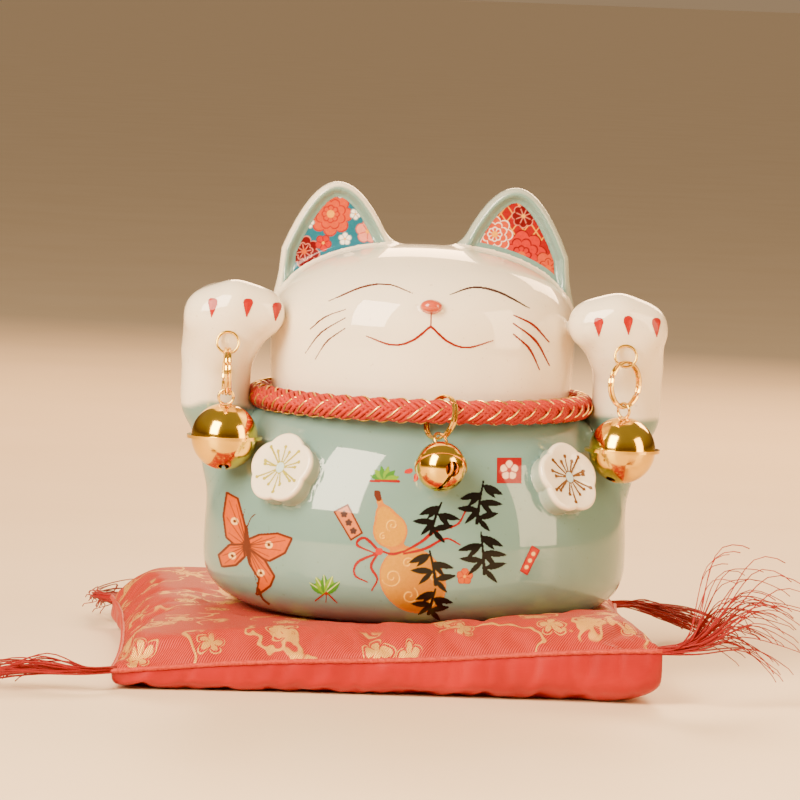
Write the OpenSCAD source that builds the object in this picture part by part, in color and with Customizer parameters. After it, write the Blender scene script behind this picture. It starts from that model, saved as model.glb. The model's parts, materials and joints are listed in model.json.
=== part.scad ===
// Glazed ceramic lucky cat with three jingle bells, a braided collar and a brocade cushion.
// Millimetres. +Z is up, the cat faces -Y, and left and right are as seen from the front.
// The origin is on the cushion's underside, below the middle of the cat.

/* [Cushion] */
// Side of the square cushion, measured at its seam
cushion_w = 132; // [126:1:140]
// Height of the seam that joins the brocade and the satin covers
seam_z = 9.5; // [8.5:0.5:10]
// Height of the flat seat that the cat stands on
seat_z = 13.5; // [13:0.5:15]
// Thickness of each cover
cover_t = 1; // [0.8:0.1:1.2]
// Where the cushion's middle lies from the cat's, along X
cushion_x = -9; // [-9:0.5:0]

/* [Cat] */
// Half width of the body at its widest
body_a = 53; // [52:0.5:54]
// Depth of the body as a share of its width
body_k = 0.86; // [0.84:0.01:0.87]
// Half width of the head
head_a = 38; // [37.5:0.5:38.5]
// Depth of the head as a share of its width
head_k = 0.92; // [0.9:0.01:0.93]
// Wall of the slip-cast shells
wall = 3; // [2.5:0.1:3.5]
// Radius of the casting vent in the foot
vent_r = 5; // [4:0.5:8]

/* [Collar] */
// Diameter of the braided cord
cord_d = 6.2; // [5.8:0.1:6.2]
// Diameter of the collar bell
collar_bell_d = 12.2; // [11.8:0.1:12.4]

/* [Paw bells] */
// Diameter of a paw bell without its flange
paw_bell_d = 16.4; // [15.8:0.1:16.6]
// Diameter of the flange where its two cups are crimped together
paw_flange_d = 18.6; // [18:0.1:19]
// Wall of the pressed bell cups
bell_wall = 0.5; // [0.4:0.05:0.6]

/* [Hidden] */
$fn = 48;

blue = [0.64, 0.82, 0.82];
white = [0.97, 0.94, 0.89];
gold = [0.93, 0.72, 0.25];
red = [0.85, 0.13, 0.12];

half = cushion_w / 2;
filling_gap = 0.3;

// Body outline: half width body_a at body_z, superellipse arcs above and below it
body_z = seat_z + 16.5;
body_up = 46;
body_up_n = 2.4;
body_down = 19;
body_down_n = 3;
neck_z = seat_z + 50.5;
neck_r = 32.7;
foot_r = arc_r(body_a, body_down, body_down_n, body_z - seat_z);

// Head outline: half width head_a at head_z
head_z = seat_z + 70.5;
head_up = 22;
head_up_n = 2.3;
head_down = 36;
head_down_n = 3;

// Ears: tip, thickness and the dish pressed into the front
ear_tip = [22.3, 3, head_z + 37];
ear_t = 6.5;
ear_dish = 1.8;
ear_rim = 2.2;

// Arms and paws
paw_x = 49;
loop_y = -23.2;
loop_z = head_z - 2.8;
loop_r = 2.65;
loop_wire = 0.35;
loop_tilt = 12;

// Collar
cord_r = cord_d / 2;
cord_a = head_a + 2.4;
cord_front = head_a + 1;
cord_back = 37.8;
cord_z = neck_z + cord_r;
clasp_len = 9;

// Rings and shanks
ring_wire = 0.4;
ring_pitch = 0.86;
ring_gap = 0.4;
shank_wire = 0.35;
paw_ring_r = 5.6;
paw_shank_r = 1.8;
collar_ring_r = 5.4;
collar_shank_r = 1.9;
collar_ring_yaw = 34;
collar_slot_yaw = 33;
collar_lean = 30;
collar_bell_lean = 40;
collar_x = 3;
right_ring_yaw = 45;

function lerp(a, b, t) = a + (b - a) * t;
function reversed(list) = [for (i = [len(list) - 1:-1:0]) list[i]];

// Radius of a superellipse arc of half width a, height h and exponent n, at height z above its middle
function arc_r(a, h, n, z) = a * pow(max(0, 1 - pow(abs(z) / h, n)), 1 / n);

// A ring of points in the plane z: a superellipse of half widths a and b and exponent n
function ring(a, b, n, z, count = 64) = [
    for (i = [0:count - 1])
        let (t = 360 * i / count, s = pow(pow(abs(cos(t)) / a, n) + pow(abs(sin(t)) / b, n), -1 / n))
            [s * cos(t), s * sin(t), z]
];

// A solid through rings of equally many points, with a flat cap at each end or, if looped, its ends joined
module loft(rings, looped = false) {
    n = len(rings[0]);
    count = len(rings);
    polyhedron(
        points = [for (r = rings) each r],
        faces = [
            if (!looped) [for (i = [0:n - 1]) i],
            for (k = [0:looped ? count - 1 : count - 2], i = [0:n - 1])
                let (j = (i + 1) % n, m = (k + 1) % count) each [
                    [k * n + i, m * n + i, m * n + j],
                    [k * n + i, m * n + j, k * n + j]
                ],
            if (!looped) [for (i = [n - 1:-1:0]) (count - 1) * n + i]
        ]
    );
}

// A round tube along a list of points. On a closed path the ends meet.
module tube(path, r, sides = 12, closed = false) {
    count = len(path);
    rings = [
        for (i = [0:count - 1])
            let (
                before = path[closed ? (i + count - 1) % count : max(0, i - 1)],
                after = path[closed ? (i + 1) % count : min(count - 1, i + 1)],
                along = (after - before) / norm(after - before),
                flat = abs(along[2]) < 0.9 ? [0, 0, 1] : [0, 1, 0],
                u = cross(flat, along) / norm(cross(flat, along)),
                v = cross(along, u)
            )
                [for (s = [0:sides - 1]) path[i] + r * (u * cos(360 * s / sides) + v * sin(360 * s / sides))]
    ];
    spans = closed ? count - 1 : count - 2;
    polyhedron(
        points = [for (r = rings) each r],
        faces = [
            for (k = [0:spans], i = [0:sides - 1])
                let (j = (i + 1) % sides, m = (k + 1) % count) each [
                    [k * sides + i, m * sides + i, m * sides + j],
                    [k * sides + i, m * sides + j, k * sides + j]
                ],
            if (!closed) [for (i = [0:sides - 1]) i],
            if (!closed) [for (i = [sides - 1:-1:0]) (count - 1) * sides + i]
        ]
    );
}

// ---- Cushion ----

// Roundness of the cushion's corners at the seam: the exponent of its superellipse
seam_n = 12;

// Rings of the cushion from its flat underside to the seam, moved inwards by inset
function lower_rings(inset) = [
    ring(half - 11 - inset, half - 11 - inset, 4, inset),
    ring(half - 6 - inset, half - 6 - inset, 8, 1.2 + inset),
    ring(half - 1.5 - inset, half - 1.5 - inset, 10, 4 + inset / 2),
    ring(half - inset, half - inset, seam_n, seam_z)
];

// Rings from the seam over the padded rim down to the seat, which lies below the cat
function upper_rings(inset) = [
    ring(half - inset, half - inset, seam_n, seam_z),
    ring(half - 2 - inset, half - 2 - inset, 9, seam_z + 3.5 - inset / 2),
    ring(half - 5 - inset, half - 5 - inset, 7, seam_z + 6 - inset),
    ring(half - 9.5, half - 9.5, 4, seam_z + 7 - inset),
    [for (p = ring(foot_r + 2, foot_r * body_k + 3, 2, seat_z - inset)) p - [cushion_x, 0, 0]]
];

module on_cushion() { translate([cushion_x, 0, 0]) children(); }

module brocade_cover() {
    color(red) on_cushion() loft(concat(reversed(upper_rings(cover_t)), upper_rings(0)));
}

module satin_cover() {
    color([0.9, 0.1, 0.1]) on_cushion() loft(concat(lower_rings(0), reversed(lower_rings(cover_t))));
}

module cushion_filling() {
    inset = cover_t + filling_gap;
    color("ivory") on_cushion() loft(concat(lower_rings(inset), [for (i = [1:4]) upper_rings(inset)[i]]));
}

// A tassel: a knot stitched to the corner, and threads that fan out to the points in ends
module tassel(knot, ends) {
    waist = lerp(knot, ends[1], 0.14);
    color([0.8, 0.08, 0.1]) {
        hull() {
            translate(knot) sphere(r = knot_r, $fn = 16);
            translate(waist) sphere(r = knot_r, $fn = 16);
        }
        hull() {
            translate(waist) sphere(r = knot_r, $fn = 16);
            for (e = ends) translate(e) sphere(r = 1.2, $fn = 12);
        }
    }
}

knot_r = 1.5;
// How far the knots are from the middle: just clear of the seam's corners
knot_at = half * pow(0.5, 1 / seam_n) + knot_r * sqrt(0.5) + 0.15;

module tassel_front_left() {
    on_cushion() tassel([-knot_at, -knot_at, seam_z - 1], [[-102, -61, 1.8], [-104, -72, 2.6], [-100, -78, 6]]);
}
module tassel_front_right() {
    on_cushion() tassel([knot_at, -knot_at, seam_z + 1], [[96, -62, 8], [104, -66, 27], [84, -70, 44]]);
}
module tassel_back_left() {
    on_cushion() tassel([-knot_at, knot_at, seam_z - 1], [[-74, 96, 4], [-66, 100, 1.8], [-54, 97, 2.4]]);
}
module tassel_back_right() {
    on_cushion() tassel([knot_at, knot_at, seam_z - 1], [[101, 66, 1.8], [98, 80, 2.4], [88, 88, 5]]);
}

// ---- Slip-cast cat ----

function body_r(z, in = 0) =
    z > body_z
        ? arc_r(body_a - in, body_up - in, body_up_n, z - body_z)
        : arc_r(body_a - in, body_down - in / 2, body_down_n, z - body_z);

function head_r(z, in = 0) =
    z > head_z
        ? arc_r(head_a - in, head_up - in, head_up_n, z - head_z)
        : arc_r(head_a - in, head_down, head_down_n, z - head_z);

steps = 12;
facets = 56;

// Rings of an oval shell at the heights in zs, where radius(z) is its half width and k its depth as a share
function shell_rings(zs, radii, k) = [
    for (i = [0:len(zs) - 1]) ring(radii[i], radii[i] * k, 2, zs[i], facets)
];

// The lower casting, open at the neck, with a vent in its foot
module body_shell() {
    floor_z = seat_z + wall;
    top_z = neck_z - wall;
    outside = [for (i = [0:steps]) lerp(seat_z, neck_z, i / steps)];
    inside = [for (i = [steps:-1:0]) lerp(floor_z, top_z, i / steps)];
    zs = concat([seat_z], outside, [neck_z, top_z], inside, [floor_z]);
    radii = concat(
        [vent_r], [for (z = outside) body_r(z)],
        [neck_r, neck_r], [for (z = inside) body_r(z, wall)], [vent_r]
    );
    color(blue) loft(shell_rings(zs, radii, body_k), true);
}

// The upper casting: a dome that stands on the neck
module head_shell() {
    top = head_z + head_up;
    // Heights from the crown down, crowded together towards the crown, which ends in a small flat
    outside = [for (i = [steps:-1:0]) lerp(neck_z, top, sin(86 * i / steps))];
    inside = [for (i = [0:steps]) lerp(neck_z, top - wall, sin(86 * i / steps))];
    radii = concat([for (z = outside) head_r(z)], [for (z = inside) head_r(z, wall)]);
    color(white) loft(reversed(shell_rings(concat(outside, inside), radii, head_k)));
}

module nose() {
    color([0.93, 0.55, 0.4]) hull()
        for (x = [-1.4, 1.4]) translate([x, -head_a * head_k + 0.4, head_z + 8]) sphere(r = 1.7, $fn = 20);
}

// Half width of an ear at a depth below its tip
function ear_outer(d) = 13.6 * pow(min(1, d / 17), 0.5) + 0.09 * max(0, d - 17);
function ear_inner(d) = 13.6 * pow(min(1, d / 15), 0.5) + 0.5 * max(0, d - 15);

// Ear outline in its own plane, tip at the origin, x outwards, moved inwards by inset
function ear_outline(inset, depth) =
    let (ds = [for (d = [0.2, 1, 2, 4, 7, 11, 16, 22, depth]) if (ear_outer(d) > inset + 0.3) d])
        concat(
            [for (d = ds) [ear_outer(d) - inset, -d - inset * (1 - d / depth)]],
            [for (d = reversed(ds)) [inset - ear_inner(d), -d - inset * (1 - d / depth)]]
        );

module ear() {
    color(blue) translate(ear_tip) rotate([90, 0, 0]) difference() {
        hull() {
            translate([0, 0, -ear_t / 2 + 1.6]) linear_extrude(ear_t - 3.2) polygon(ear_outline(0, 30));
            translate([0, 0, -ear_t / 2]) linear_extrude(ear_t) polygon(ear_outline(1.6, 30));
        }
        translate([0, 0, ear_t / 2 - ear_dish]) linear_extrude(ear_dish + 1) polygon(ear_outline(ear_rim + 1.2, 27));
    }
}
module right_ear() { ear(); }
module left_ear() { mirror([1, 0, 0]) ear(); }

// Centres and radii of the balls that the right arm and paw are drawn through
arm_balls = [
    [[41.5, -1, seat_z + 27], 7.4], [[46, -2, seat_z + 37], 7.8], [[51, -3.5, seat_z + 51], 7.9],
    [[51.4, -4, seat_z + 65], 8], [[50, -6, seat_z + 72.5], 8.8]
];
toe_balls = [
    [[41.8, -16.9, seat_z + 74.9], 6.7], [[47.6, -18.2, seat_z + 75.2], 7], [[53.4, -16.8, seat_z + 74.6], 6.7]
];
heel_ball = [[47.4, -11, seat_z + 70.5], 7.9];

module ball(b) { translate(b[0]) sphere(r = b[1], $fn = 18); }

module arm() {
    last = len(arm_balls) - 1;
    color(white) {
        for (i = [0:last - 1]) hull() { ball(arm_balls[i]); ball(arm_balls[i + 1]); }
        for (toe = toe_balls) hull() { ball(arm_balls[last]); ball(heel_ball); ball(toe); }
    }
}
module right_arm() { arm(); }
module left_arm() { mirror([1, 0, 0]) arm(); }

// Plum blossom: a thick five-petal disc on a short stem, leaning out from the shoulder
blossom_at = [32.2, -30.1, seat_z + 36];
blossom_r = 9.2;
blossom_t = 4.6;

// Outline of the blossom: five round petals joined in the middle
module petals(r) {
    petal_r = r * 0.48;
    circle(r = r * 0.7);
    for (i = [0:4]) rotate(72 * i + 90) translate([r - petal_r, 0]) circle(r = petal_r);
}

module blossom() {
    color(white) translate(blossom_at) rotate([66, 0, 38]) difference() {
        union() {
            translate([0, 0, -3]) cylinder(r = 5.2, h = 5);
            translate([0, 0, 1.6]) linear_extrude(blossom_t) petals(blossom_r);
        }
        translate([0, 0, 1.6 + blossom_t - 0.4]) cylinder(r = 1.4, h = 1);
    }
}
module right_blossom() { blossom(); }
module left_blossom() { mirror([1, 0, 0]) blossom(); }

// ---- Rings and bells ----

// A ring of round wire whose axis is +X
module wire_ring(r, wire) {
    rotate([0, 90, 0]) rotate_extrude() translate([r, 0]) circle(r = wire, $fn = 24);
}

// A split ring: two turns of wire side by side, whose axis is +X
module split_ring(r) {
    count = 72;
    turns = 1.94;
    color(gold) tube(
        [for (i = [0:count]) let (t = i / count, a = 360 * turns * (t - 0.5))
            [ring_pitch * turns * (t - 0.5), r * sin(a), -r * cos(a)]],
        ring_wire, 8
    );
}

// A pressed half of a bell, opening downwards, with half of the crimped flange
module cup(r, flange_r) {
    rim = 0.4;
    rotate_extrude() difference() {
        union() {
            intersection() {
                circle(r = r, $fn = 96);
                square([r + 1, r + 1]);
            }
            square([flange_r, rim]);
        }
        circle(r = r - bell_wall, $fn = 96);
        translate([-r, 0]) square([r, r + 1]);
    }
}

module bell_upper(r, flange_r) {
    color(gold) difference() {
        cup(r, flange_r);
        translate([0, 0, r - 1]) cylinder(r = 0.45, h = 2);
    }
}

// The lower half, with a slit across its bottom that ends in a round hole on each side
module bell_lower(r, flange_r, hole_angle, hole_r, slit) {
    color(gold) difference() {
        mirror([0, 0, 1]) cup(r, flange_r);
        for (s = [-1, 1]) rotate([s * hole_angle, 0, 0]) translate([0, 0, -r - 1]) cylinder(r = hole_r, h = r);
        intersection() {
            translate([-slit / 2, -r, -r - 1]) cube([slit, 2 * r, r]);
            translate([-r, -r * sin(hole_angle), -r - 1]) cube([2 * r, 2 * r * sin(hole_angle), r]);
        }
    }
}

// The wire eye on top of a bell, whose axis is +Y, with its tail riveted inside the cup
module bell_shank(r, eye_r) {
    color(gold) translate([0, 0, r + eye_r - shank_wire + 0.1]) {
        rotate([0, 0, 90]) wire_ring(eye_r, shank_wire);
        translate([0, 0, -eye_r - 1.1]) cylinder(r = shank_wire, h = 1.2);
    }
}

// A steel ball that lies in the bottom of a bell
module bell_pellet(r, ball_r) {
    color("silver") translate([0, 0, -(r - bell_wall - ball_r - 0.25)]) sphere(r = ball_r);
}

paw_bell_r = paw_bell_d / 2;
collar_bell_r = collar_bell_d / 2;

// Height of a bell's centre below the axis that its eye turns on
function hang(r, eye_r) = r + eye_r - shank_wire + 0.1 + (eye_r - shank_wire - ring_wire - 0.3);

// Where a ring hangs on its loop, and the bell on the ring
loop_low = [paw_x, loop_y - loop_r * sin(loop_tilt), loop_z - loop_r * cos(loop_tilt)];
paw_ring_at = loop_low - [0, 0, paw_ring_r - ring_wire - loop_wire - ring_gap];
paw_ring_low = paw_ring_at - [0, 0, paw_ring_r];
paw_bell_at = paw_ring_low - [0, 0, hang(paw_bell_r, paw_shank_r)];

module place_paw(side, at, yaw = 0) {
    translate([side * at[0], at[1], at[2]]) rotate([0, 0, yaw]) children();
}

module paw_loop(side) {
    color(gold) translate([side * paw_x, loop_y, loop_z]) rotate([-loop_tilt, 0, 0]) rotate([0, 0, 90])
        wire_ring(loop_r, loop_wire);
}
module left_paw_loop() { paw_loop(-1); }
module right_paw_loop() { paw_loop(1); }

module left_split_ring() { place_paw(-1, paw_ring_at) split_ring(paw_ring_r); }
module right_split_ring() { place_paw(1, paw_ring_at, -right_ring_yaw) split_ring(paw_ring_r); }

module left_bell_upper() { place_paw(-1, paw_bell_at) bell_upper(paw_bell_r, paw_flange_d / 2); }
module left_bell_lower() { place_paw(-1, paw_bell_at) bell_lower(paw_bell_r, paw_flange_d / 2, 30, 1.3, 0.9); }
module left_bell_shank() { place_paw(-1, paw_bell_at) bell_shank(paw_bell_r, paw_shank_r); }
module left_bell_pellet() { place_paw(-1, paw_bell_at) bell_pellet(paw_bell_r, 2.2); }

module right_bell_upper() { place_paw(1, paw_bell_at, -right_ring_yaw) bell_upper(paw_bell_r, paw_flange_d / 2); }
module right_bell_lower() {
    place_paw(1, paw_bell_at, -right_ring_yaw) bell_lower(paw_bell_r, paw_flange_d / 2, 30, 1.3, 0.9);
}
module right_bell_shank() { place_paw(1, paw_bell_at, -right_ring_yaw) bell_shank(paw_bell_r, paw_shank_r); }
module right_bell_pellet() { place_paw(1, paw_bell_at) bell_pellet(paw_bell_r, 2.2); }

// ---- Collar ----

// The cord lies in the crease between head and shoulders, a little slack in front
module collar_cord() {
    count = 72;
    color(red) tube(
        [for (i = [0:count - 1]) let (a = 360 * i / count)
            [cord_a * cos(a), (sin(a) < 0 ? cord_front : cord_back) * sin(a), cord_z]],
        cord_r, 12, true
    );
}

// A crimped sleeve over the cord's two ends at the back of the neck
module collar_clasp() {
    color(gold) translate([0, cord_back, cord_z]) rotate([0, 90, 0]) difference() {
        cylinder(r = cord_r + 0.5, h = clasp_len, center = true);
        cylinder(r = cord_r + 0.1, h = clasp_len + 1, center = true);
    }
}

// The collar ring leans out, and its bell leans out further to rest on the cat's chest
module on_collar(drop, bell_drop, yaw) {
    translate([collar_x, -cord_front, cord_z]) rotate([-collar_lean, 0, 0]) translate([0, 0, -drop])
        rotate([collar_lean - (bell_drop > 0 ? collar_bell_lean : collar_lean), 0, 0]) translate([0, 0, -bell_drop])
            rotate([0, 0, yaw]) children();
}
module on_collar_bell(yaw) {
    on_collar(collar_ring_drop + collar_ring_r, hang(collar_bell_r, collar_shank_r), yaw) children();
}
collar_ring_drop = collar_ring_r - ring_wire - cord_r - 0.4;

module collar_ring() { on_collar(collar_ring_drop, 0, collar_ring_yaw) split_ring(collar_ring_r); }
module collar_bell_upper() { on_collar_bell(collar_ring_yaw) bell_upper(collar_bell_r, collar_bell_r + 0.3); }
module collar_bell_lower() {
    on_collar_bell(collar_slot_yaw) bell_lower(collar_bell_r, collar_bell_r + 0.3, 54, 1.9, 0.9);
}
module collar_bell_shank() { on_collar_bell(collar_ring_yaw) bell_shank(collar_bell_r, collar_shank_r); }
module collar_bell_pellet() { on_collar_bell(0) bell_pellet(collar_bell_r, 1.8); }

brocade_cover();
satin_cover();
cushion_filling();
tassel_front_left();
tassel_front_right();
tassel_back_left();
tassel_back_right();
body_shell();
head_shell();
nose();
left_ear();
right_ear();
left_arm();
right_arm();
left_blossom();
right_blossom();
left_paw_loop();
right_paw_loop();
collar_cord();
collar_clasp();
collar_ring();
collar_bell_upper();
collar_bell_lower();
collar_bell_shank();
collar_bell_pellet();
left_split_ring();
left_bell_upper();
left_bell_lower();
left_bell_shank();
left_bell_pellet();
right_split_ring();
right_bell_upper();
right_bell_lower();
right_bell_shank();
right_bell_pellet();
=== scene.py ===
"""Looks of the glazed ceramic lucky cat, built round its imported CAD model.

Shapes are worked out in millimetres and made into meshes in metres. +Z is up, the cat faces -Y,
and "right" is +X, as seen from the front.
"""

import json
import math

import bpy
import numpy as np
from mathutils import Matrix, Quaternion, Vector


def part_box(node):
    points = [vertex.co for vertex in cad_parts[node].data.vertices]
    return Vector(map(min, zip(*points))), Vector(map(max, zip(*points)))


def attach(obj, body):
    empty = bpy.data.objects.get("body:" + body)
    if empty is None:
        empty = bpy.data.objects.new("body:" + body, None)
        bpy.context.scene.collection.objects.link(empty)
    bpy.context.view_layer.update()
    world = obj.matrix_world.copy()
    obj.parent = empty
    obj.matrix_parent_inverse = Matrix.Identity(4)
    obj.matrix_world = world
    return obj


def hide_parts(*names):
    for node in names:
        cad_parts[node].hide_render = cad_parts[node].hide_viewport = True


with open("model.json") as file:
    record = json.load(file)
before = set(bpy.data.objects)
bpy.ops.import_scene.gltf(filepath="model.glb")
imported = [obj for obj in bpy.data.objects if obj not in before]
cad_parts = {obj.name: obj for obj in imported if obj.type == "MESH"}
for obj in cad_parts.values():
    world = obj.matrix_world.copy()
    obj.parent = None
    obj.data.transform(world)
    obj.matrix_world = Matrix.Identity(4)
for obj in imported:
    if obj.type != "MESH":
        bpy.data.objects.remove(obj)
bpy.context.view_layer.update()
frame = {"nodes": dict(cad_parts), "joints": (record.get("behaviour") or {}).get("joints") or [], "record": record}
MM = 0.001
rng = np.random.default_rng(7)


def box(node):
    """Lowest and highest corner of a CAD node, in millimetres."""
    low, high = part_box(node)
    return np.array(low) / MM, np.array(high) / MM


def joint_point(name):
    """Where a hinge's axis passes, in millimetres."""
    found = next(j for j in frame["joints"] if j["name"] == name)
    return np.array(found["pos_m"]) / MM


# ---- Sizes, from the frame ----

body_low, body_high = box("body_shell")
head_high = box("head_shell")[1]
SEAT = body_low[2]
BODY_A = body_high[0]
BODY_K = body_high[1] / body_high[0]
HEAD_A = head_high[0]
HEAD_K = head_high[1] / head_high[0]
HEAD_TOP = head_high[2]
HEAD_Z = SEAT + 70.5
EAR_TIP = np.array([22.3, 3.0, box("right_ear")[1][2]])
WALL = 3.0
VENT_R = 5.0
cord_low, cord_high = box("collar_cord")
CORD_R = (cord_high[2] - cord_low[2]) / 2
CORD_Z = (cord_high[2] + cord_low[2]) / 2
CORD_A = cord_high[0] - CORD_R
CORD_FRONT = -cord_low[1] - CORD_R
CORD_BACK = cord_high[1] - CORD_R

# ---- Colours ----

CELADON = (0.145, 0.262, 0.238)
CREAM = (0.91, 0.79, 0.61)
BISQUE = (0.80, 0.72, 0.62)
CORAL = (0.50, 0.055, 0.012)
CLAW = (0.36, 0.006, 0.003)
INK = (0.005, 0.004, 0.003)
GOLD = (0.95, 0.60, 0.07)
WHITE = (1.0, 1.0, 1.0)


# ---- Scalar fields: below zero inside, in millimetres ----


def smooth_min(a, b, k):
    h = np.clip(0.5 + 0.5 * (b - a) / k, 0, 1)
    return b + (a - b) * h - k * h * (1 - h)


def smooth_max(a, b, k):
    return -smooth_min(-a, -b, k)


def smooth_step(low, high, x):
    """Rises from 0 at low to 1 at high, which may also lie below low."""
    t = np.clip((x - low) / (high - low), 0, 1)
    return t * t * (3 - 2 * t)


def super_dome(P, a, k, z0, up, up_n, down, down_n):
    """A body of revolution squeezed along Y by k: superellipse arcs above and below the height z0."""
    x, y, z = P.T
    q = np.hypot(x, y / k) + 1e-9
    above = z > z0
    h = np.where(above, up, down)
    n = np.where(above, up_n, down_n)
    s = np.abs(z - z0) / h
    t = q / a
    g = (t**n + s**n + 1e-12) ** (1 / n)
    slope = np.hypot(x, y / k**2) / q
    across = (t / g) ** (n - 1) / a * slope
    along = (s / g) ** (n - 1) / h
    return (g - 1) / np.sqrt(across**2 + along**2 + 1e-9)


def round_cone(P, a, ra, b, rb):
    """Distance to a rod whose radius runs from ra at a to rb at b."""
    a, b = np.array(a, float), np.array(b, float)
    d = b - a
    t = np.clip((P - a) @ d / (d @ d), 0, 1)
    return np.linalg.norm(P - a - t[:, None] * d, axis=1) - (ra + t * (rb - ra))


def ellipsoid(P, centre, radii):
    """Distance to an ellipsoid, near enough close to its surface."""
    q = (P - np.array(centre)) / np.array(radii)
    g = np.linalg.norm(q, axis=1)
    return (g - 1) * g / (np.linalg.norm(q / np.array(radii), axis=1) + 1e-9)


def polygon_distance(Q, points):
    """Signed distance of the points Q to a closed outline in the plane."""
    points = np.array(points, float)
    best = np.full(len(Q), 1e9)
    inside = np.zeros(len(Q), bool)
    for a, b in zip(points, np.roll(points, -1, 0)):
        d = b - a
        t = np.clip((Q - a) @ d / (d @ d + 1e-12), 0, 1)
        best = np.minimum(best, ((Q - a - t[:, None] * d) ** 2).sum(1))
        crosses = (a[1] > Q[:, 1]) != (b[1] > Q[:, 1])
        at = a[0] + (Q[:, 1] - a[1]) * d[0] / (d[1] if abs(d[1]) > 1e-12 else 1e-12)
        inside ^= crosses & (Q[:, 0] < at)
    return np.where(inside, -1, 1) * np.sqrt(best)


def rounded_slab(edge, thick, r):
    """A plate from the distance to its outline and to its two faces, with edges rounded by r."""
    corner = np.hypot(np.maximum(edge + r, 0), np.maximum(thick + r, 0))
    return corner + np.minimum(np.maximum(edge, thick) + r, 0) - r


def mirrored(P):
    """The points with the left side folded onto the right."""
    return np.stack([np.abs(P[:, 0]), P[:, 1], P[:, 2]], 1)


def within(low, high):
    """Marks a field that is far away outside a box, given for the right side and from the seat up."""
    low, high = np.array(low) + [0, 0, SEAT], np.array(high) + [0, 0, SEAT]

    def wrap(field):
        def boxed(P):
            Q = mirrored(P)
            near = ((Q > low) & (Q < high)).all(1)
            out = np.full(len(P), 20.0)
            if near.any():
                out[near] = field(P[near])
            return out
        return boxed
    return wrap


SHY = 0.18  # keeps the smooth body inside the CAD model's flat facets


BELLY_Z = SEAT + 16.5  # where the body is widest
FOOT_H = 19  # reach and power of the superellipse below that
FOOT_N = 3


def body_field(P):
    dome = super_dome(P, BODY_A, BODY_K, BELLY_Z, 46, 2.4, FOOT_H, FOOT_N) + SHY
    return smooth_max(dome, SEAT - P[:, 2], 1.5)


def head_field(P):
    return super_dome(P, HEAD_A, HEAD_K, HEAD_Z, HEAD_TOP - HEAD_Z, 2.3, 36, 3)


def nose_field(P):
    return ellipsoid(P, (0, -HEAD_A * HEAD_K + 0.9, HEAD_Z + 8.4), (2.7, 2.2, 1.7))


# Centres, above the seat, and radii of the balls that the right arm and paw run through
ARM = [
    ((41.5, -1, 27), 7.2), ((46, -2, 37), 7.6), ((51, -3.5, 51), 7.8),
    ((51.8, -4, 65), 8.0), ((50.6, -6, 72.4), 9.0),
]
TOES = [((41.4, -15.6, 74.7), 6.9), ((47.4, -16.8, 76.1), 7.4), ((53.4, -15.4, 74.3), 7.0)]
WRIST = ((51.6, -6.0, 54), 6.9)
PALM = ((49.4, -12.4, 69.8), 7.9)


@within((24, -36, 12), (72, 18, 92))
def arm_field(P):
    Q = mirrored(P) - [0, 0, SEAT]
    arm = np.full(len(P), 1e3)
    for (a, ra), (b, rb) in zip(ARM, ARM[1:]):
        arm = smooth_min(arm, round_cone(Q, a, ra, b, rb), 1.0)
    palm = round_cone(Q, WRIST[0], WRIST[1], *PALM)
    toes = [round_cone(Q, PALM[0], 7.0, toe, r) for toe, r in TOES]
    paw = smooth_min(smooth_min(toes[0], toes[2], 3.5), toes[1], 3.5) + 0.6
    return smooth_min(arm, smooth_min(paw, palm, 5), 5)


EAR_T = 6.3
EAR_BASE = 31.0  # depth of its foot below the tip
EAR_RIM = 2.0


def ear_outer(d):
    """How far the ear reaches outwards at a depth d below its tip."""
    return 13.6 * np.minimum(1, d / 17) ** 0.5 + 0.09 * np.maximum(0, d - 17)


def ear_inner(d):
    """And how far towards the middle of the head."""
    return 13.6 * np.minimum(1, d / 15) ** 0.5 + 0.5 * np.maximum(0, d - 15)


EAR_DEPTHS = np.array([0, 0.15, 0.6, 1.4, 2.6, 4.2, 6.5, 9.5, 13, 17, 22, EAR_BASE])
EAR_OUTLINE = np.concatenate([
    np.stack([ear_outer(EAR_DEPTHS), -EAR_DEPTHS], 1),
    np.stack([-ear_inner(EAR_DEPTHS), -EAR_DEPTHS], 1)[:0:-1],
])


def ear_plane(P):
    """Distance to the outline of the ear on a point's own side, seen from the front."""
    Q = mirrored(P)[:, [0, 2]] - EAR_TIP[[0, 2]]
    return polygon_distance(Q, EAR_OUTLINE)


@within((-1, -8, 66), (48, 14, 118))
def ear_field(P):
    flat = ear_plane(P)
    dish = 1.9 * smooth_step(EAR_RIM - 0.7, EAR_RIM + 1.6, -flat)
    y = P[:, 1] - EAR_TIP[1]
    thick = np.maximum(-y - (EAR_T / 2 - dish), y - EAR_T / 2)
    return rounded_slab(flat, thick, 2.3)


BLOSSOM_AT = np.array([32.2, -30.1, SEAT + 36])
BLOSSOM_R = 9.2
BLOSSOM_T = 4.6


def rotation(axis, degrees):
    c, s = math.cos(math.radians(degrees)), math.sin(math.radians(degrees))
    i, j = [(1, 2), (2, 0), (0, 1)][axis]
    m = np.eye(3)
    m[i, i] = m[j, j] = c
    m[i, j], m[j, i] = -s, s
    return m


BLOSSOM_TURN = rotation(2, 38) @ rotation(0, 66)


def blossom_local(P):
    """A point in the frame of the blossom on its side: x and y in the face, z out of it."""
    return (mirrored(P) - BLOSSOM_AT) @ BLOSSOM_TURN - [0, 0, 1.6]


def blossom_edge(Q):
    """Distance in the face to the five-lobed outline."""
    r = np.hypot(Q[:, 0], Q[:, 1])
    angle = np.arctan2(Q[:, 0], Q[:, 1])
    lobe = np.abs(np.cos(2.5 * angle))
    return r - BLOSSOM_R * (0.885 + 0.115 * lobe**0.9)


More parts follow.
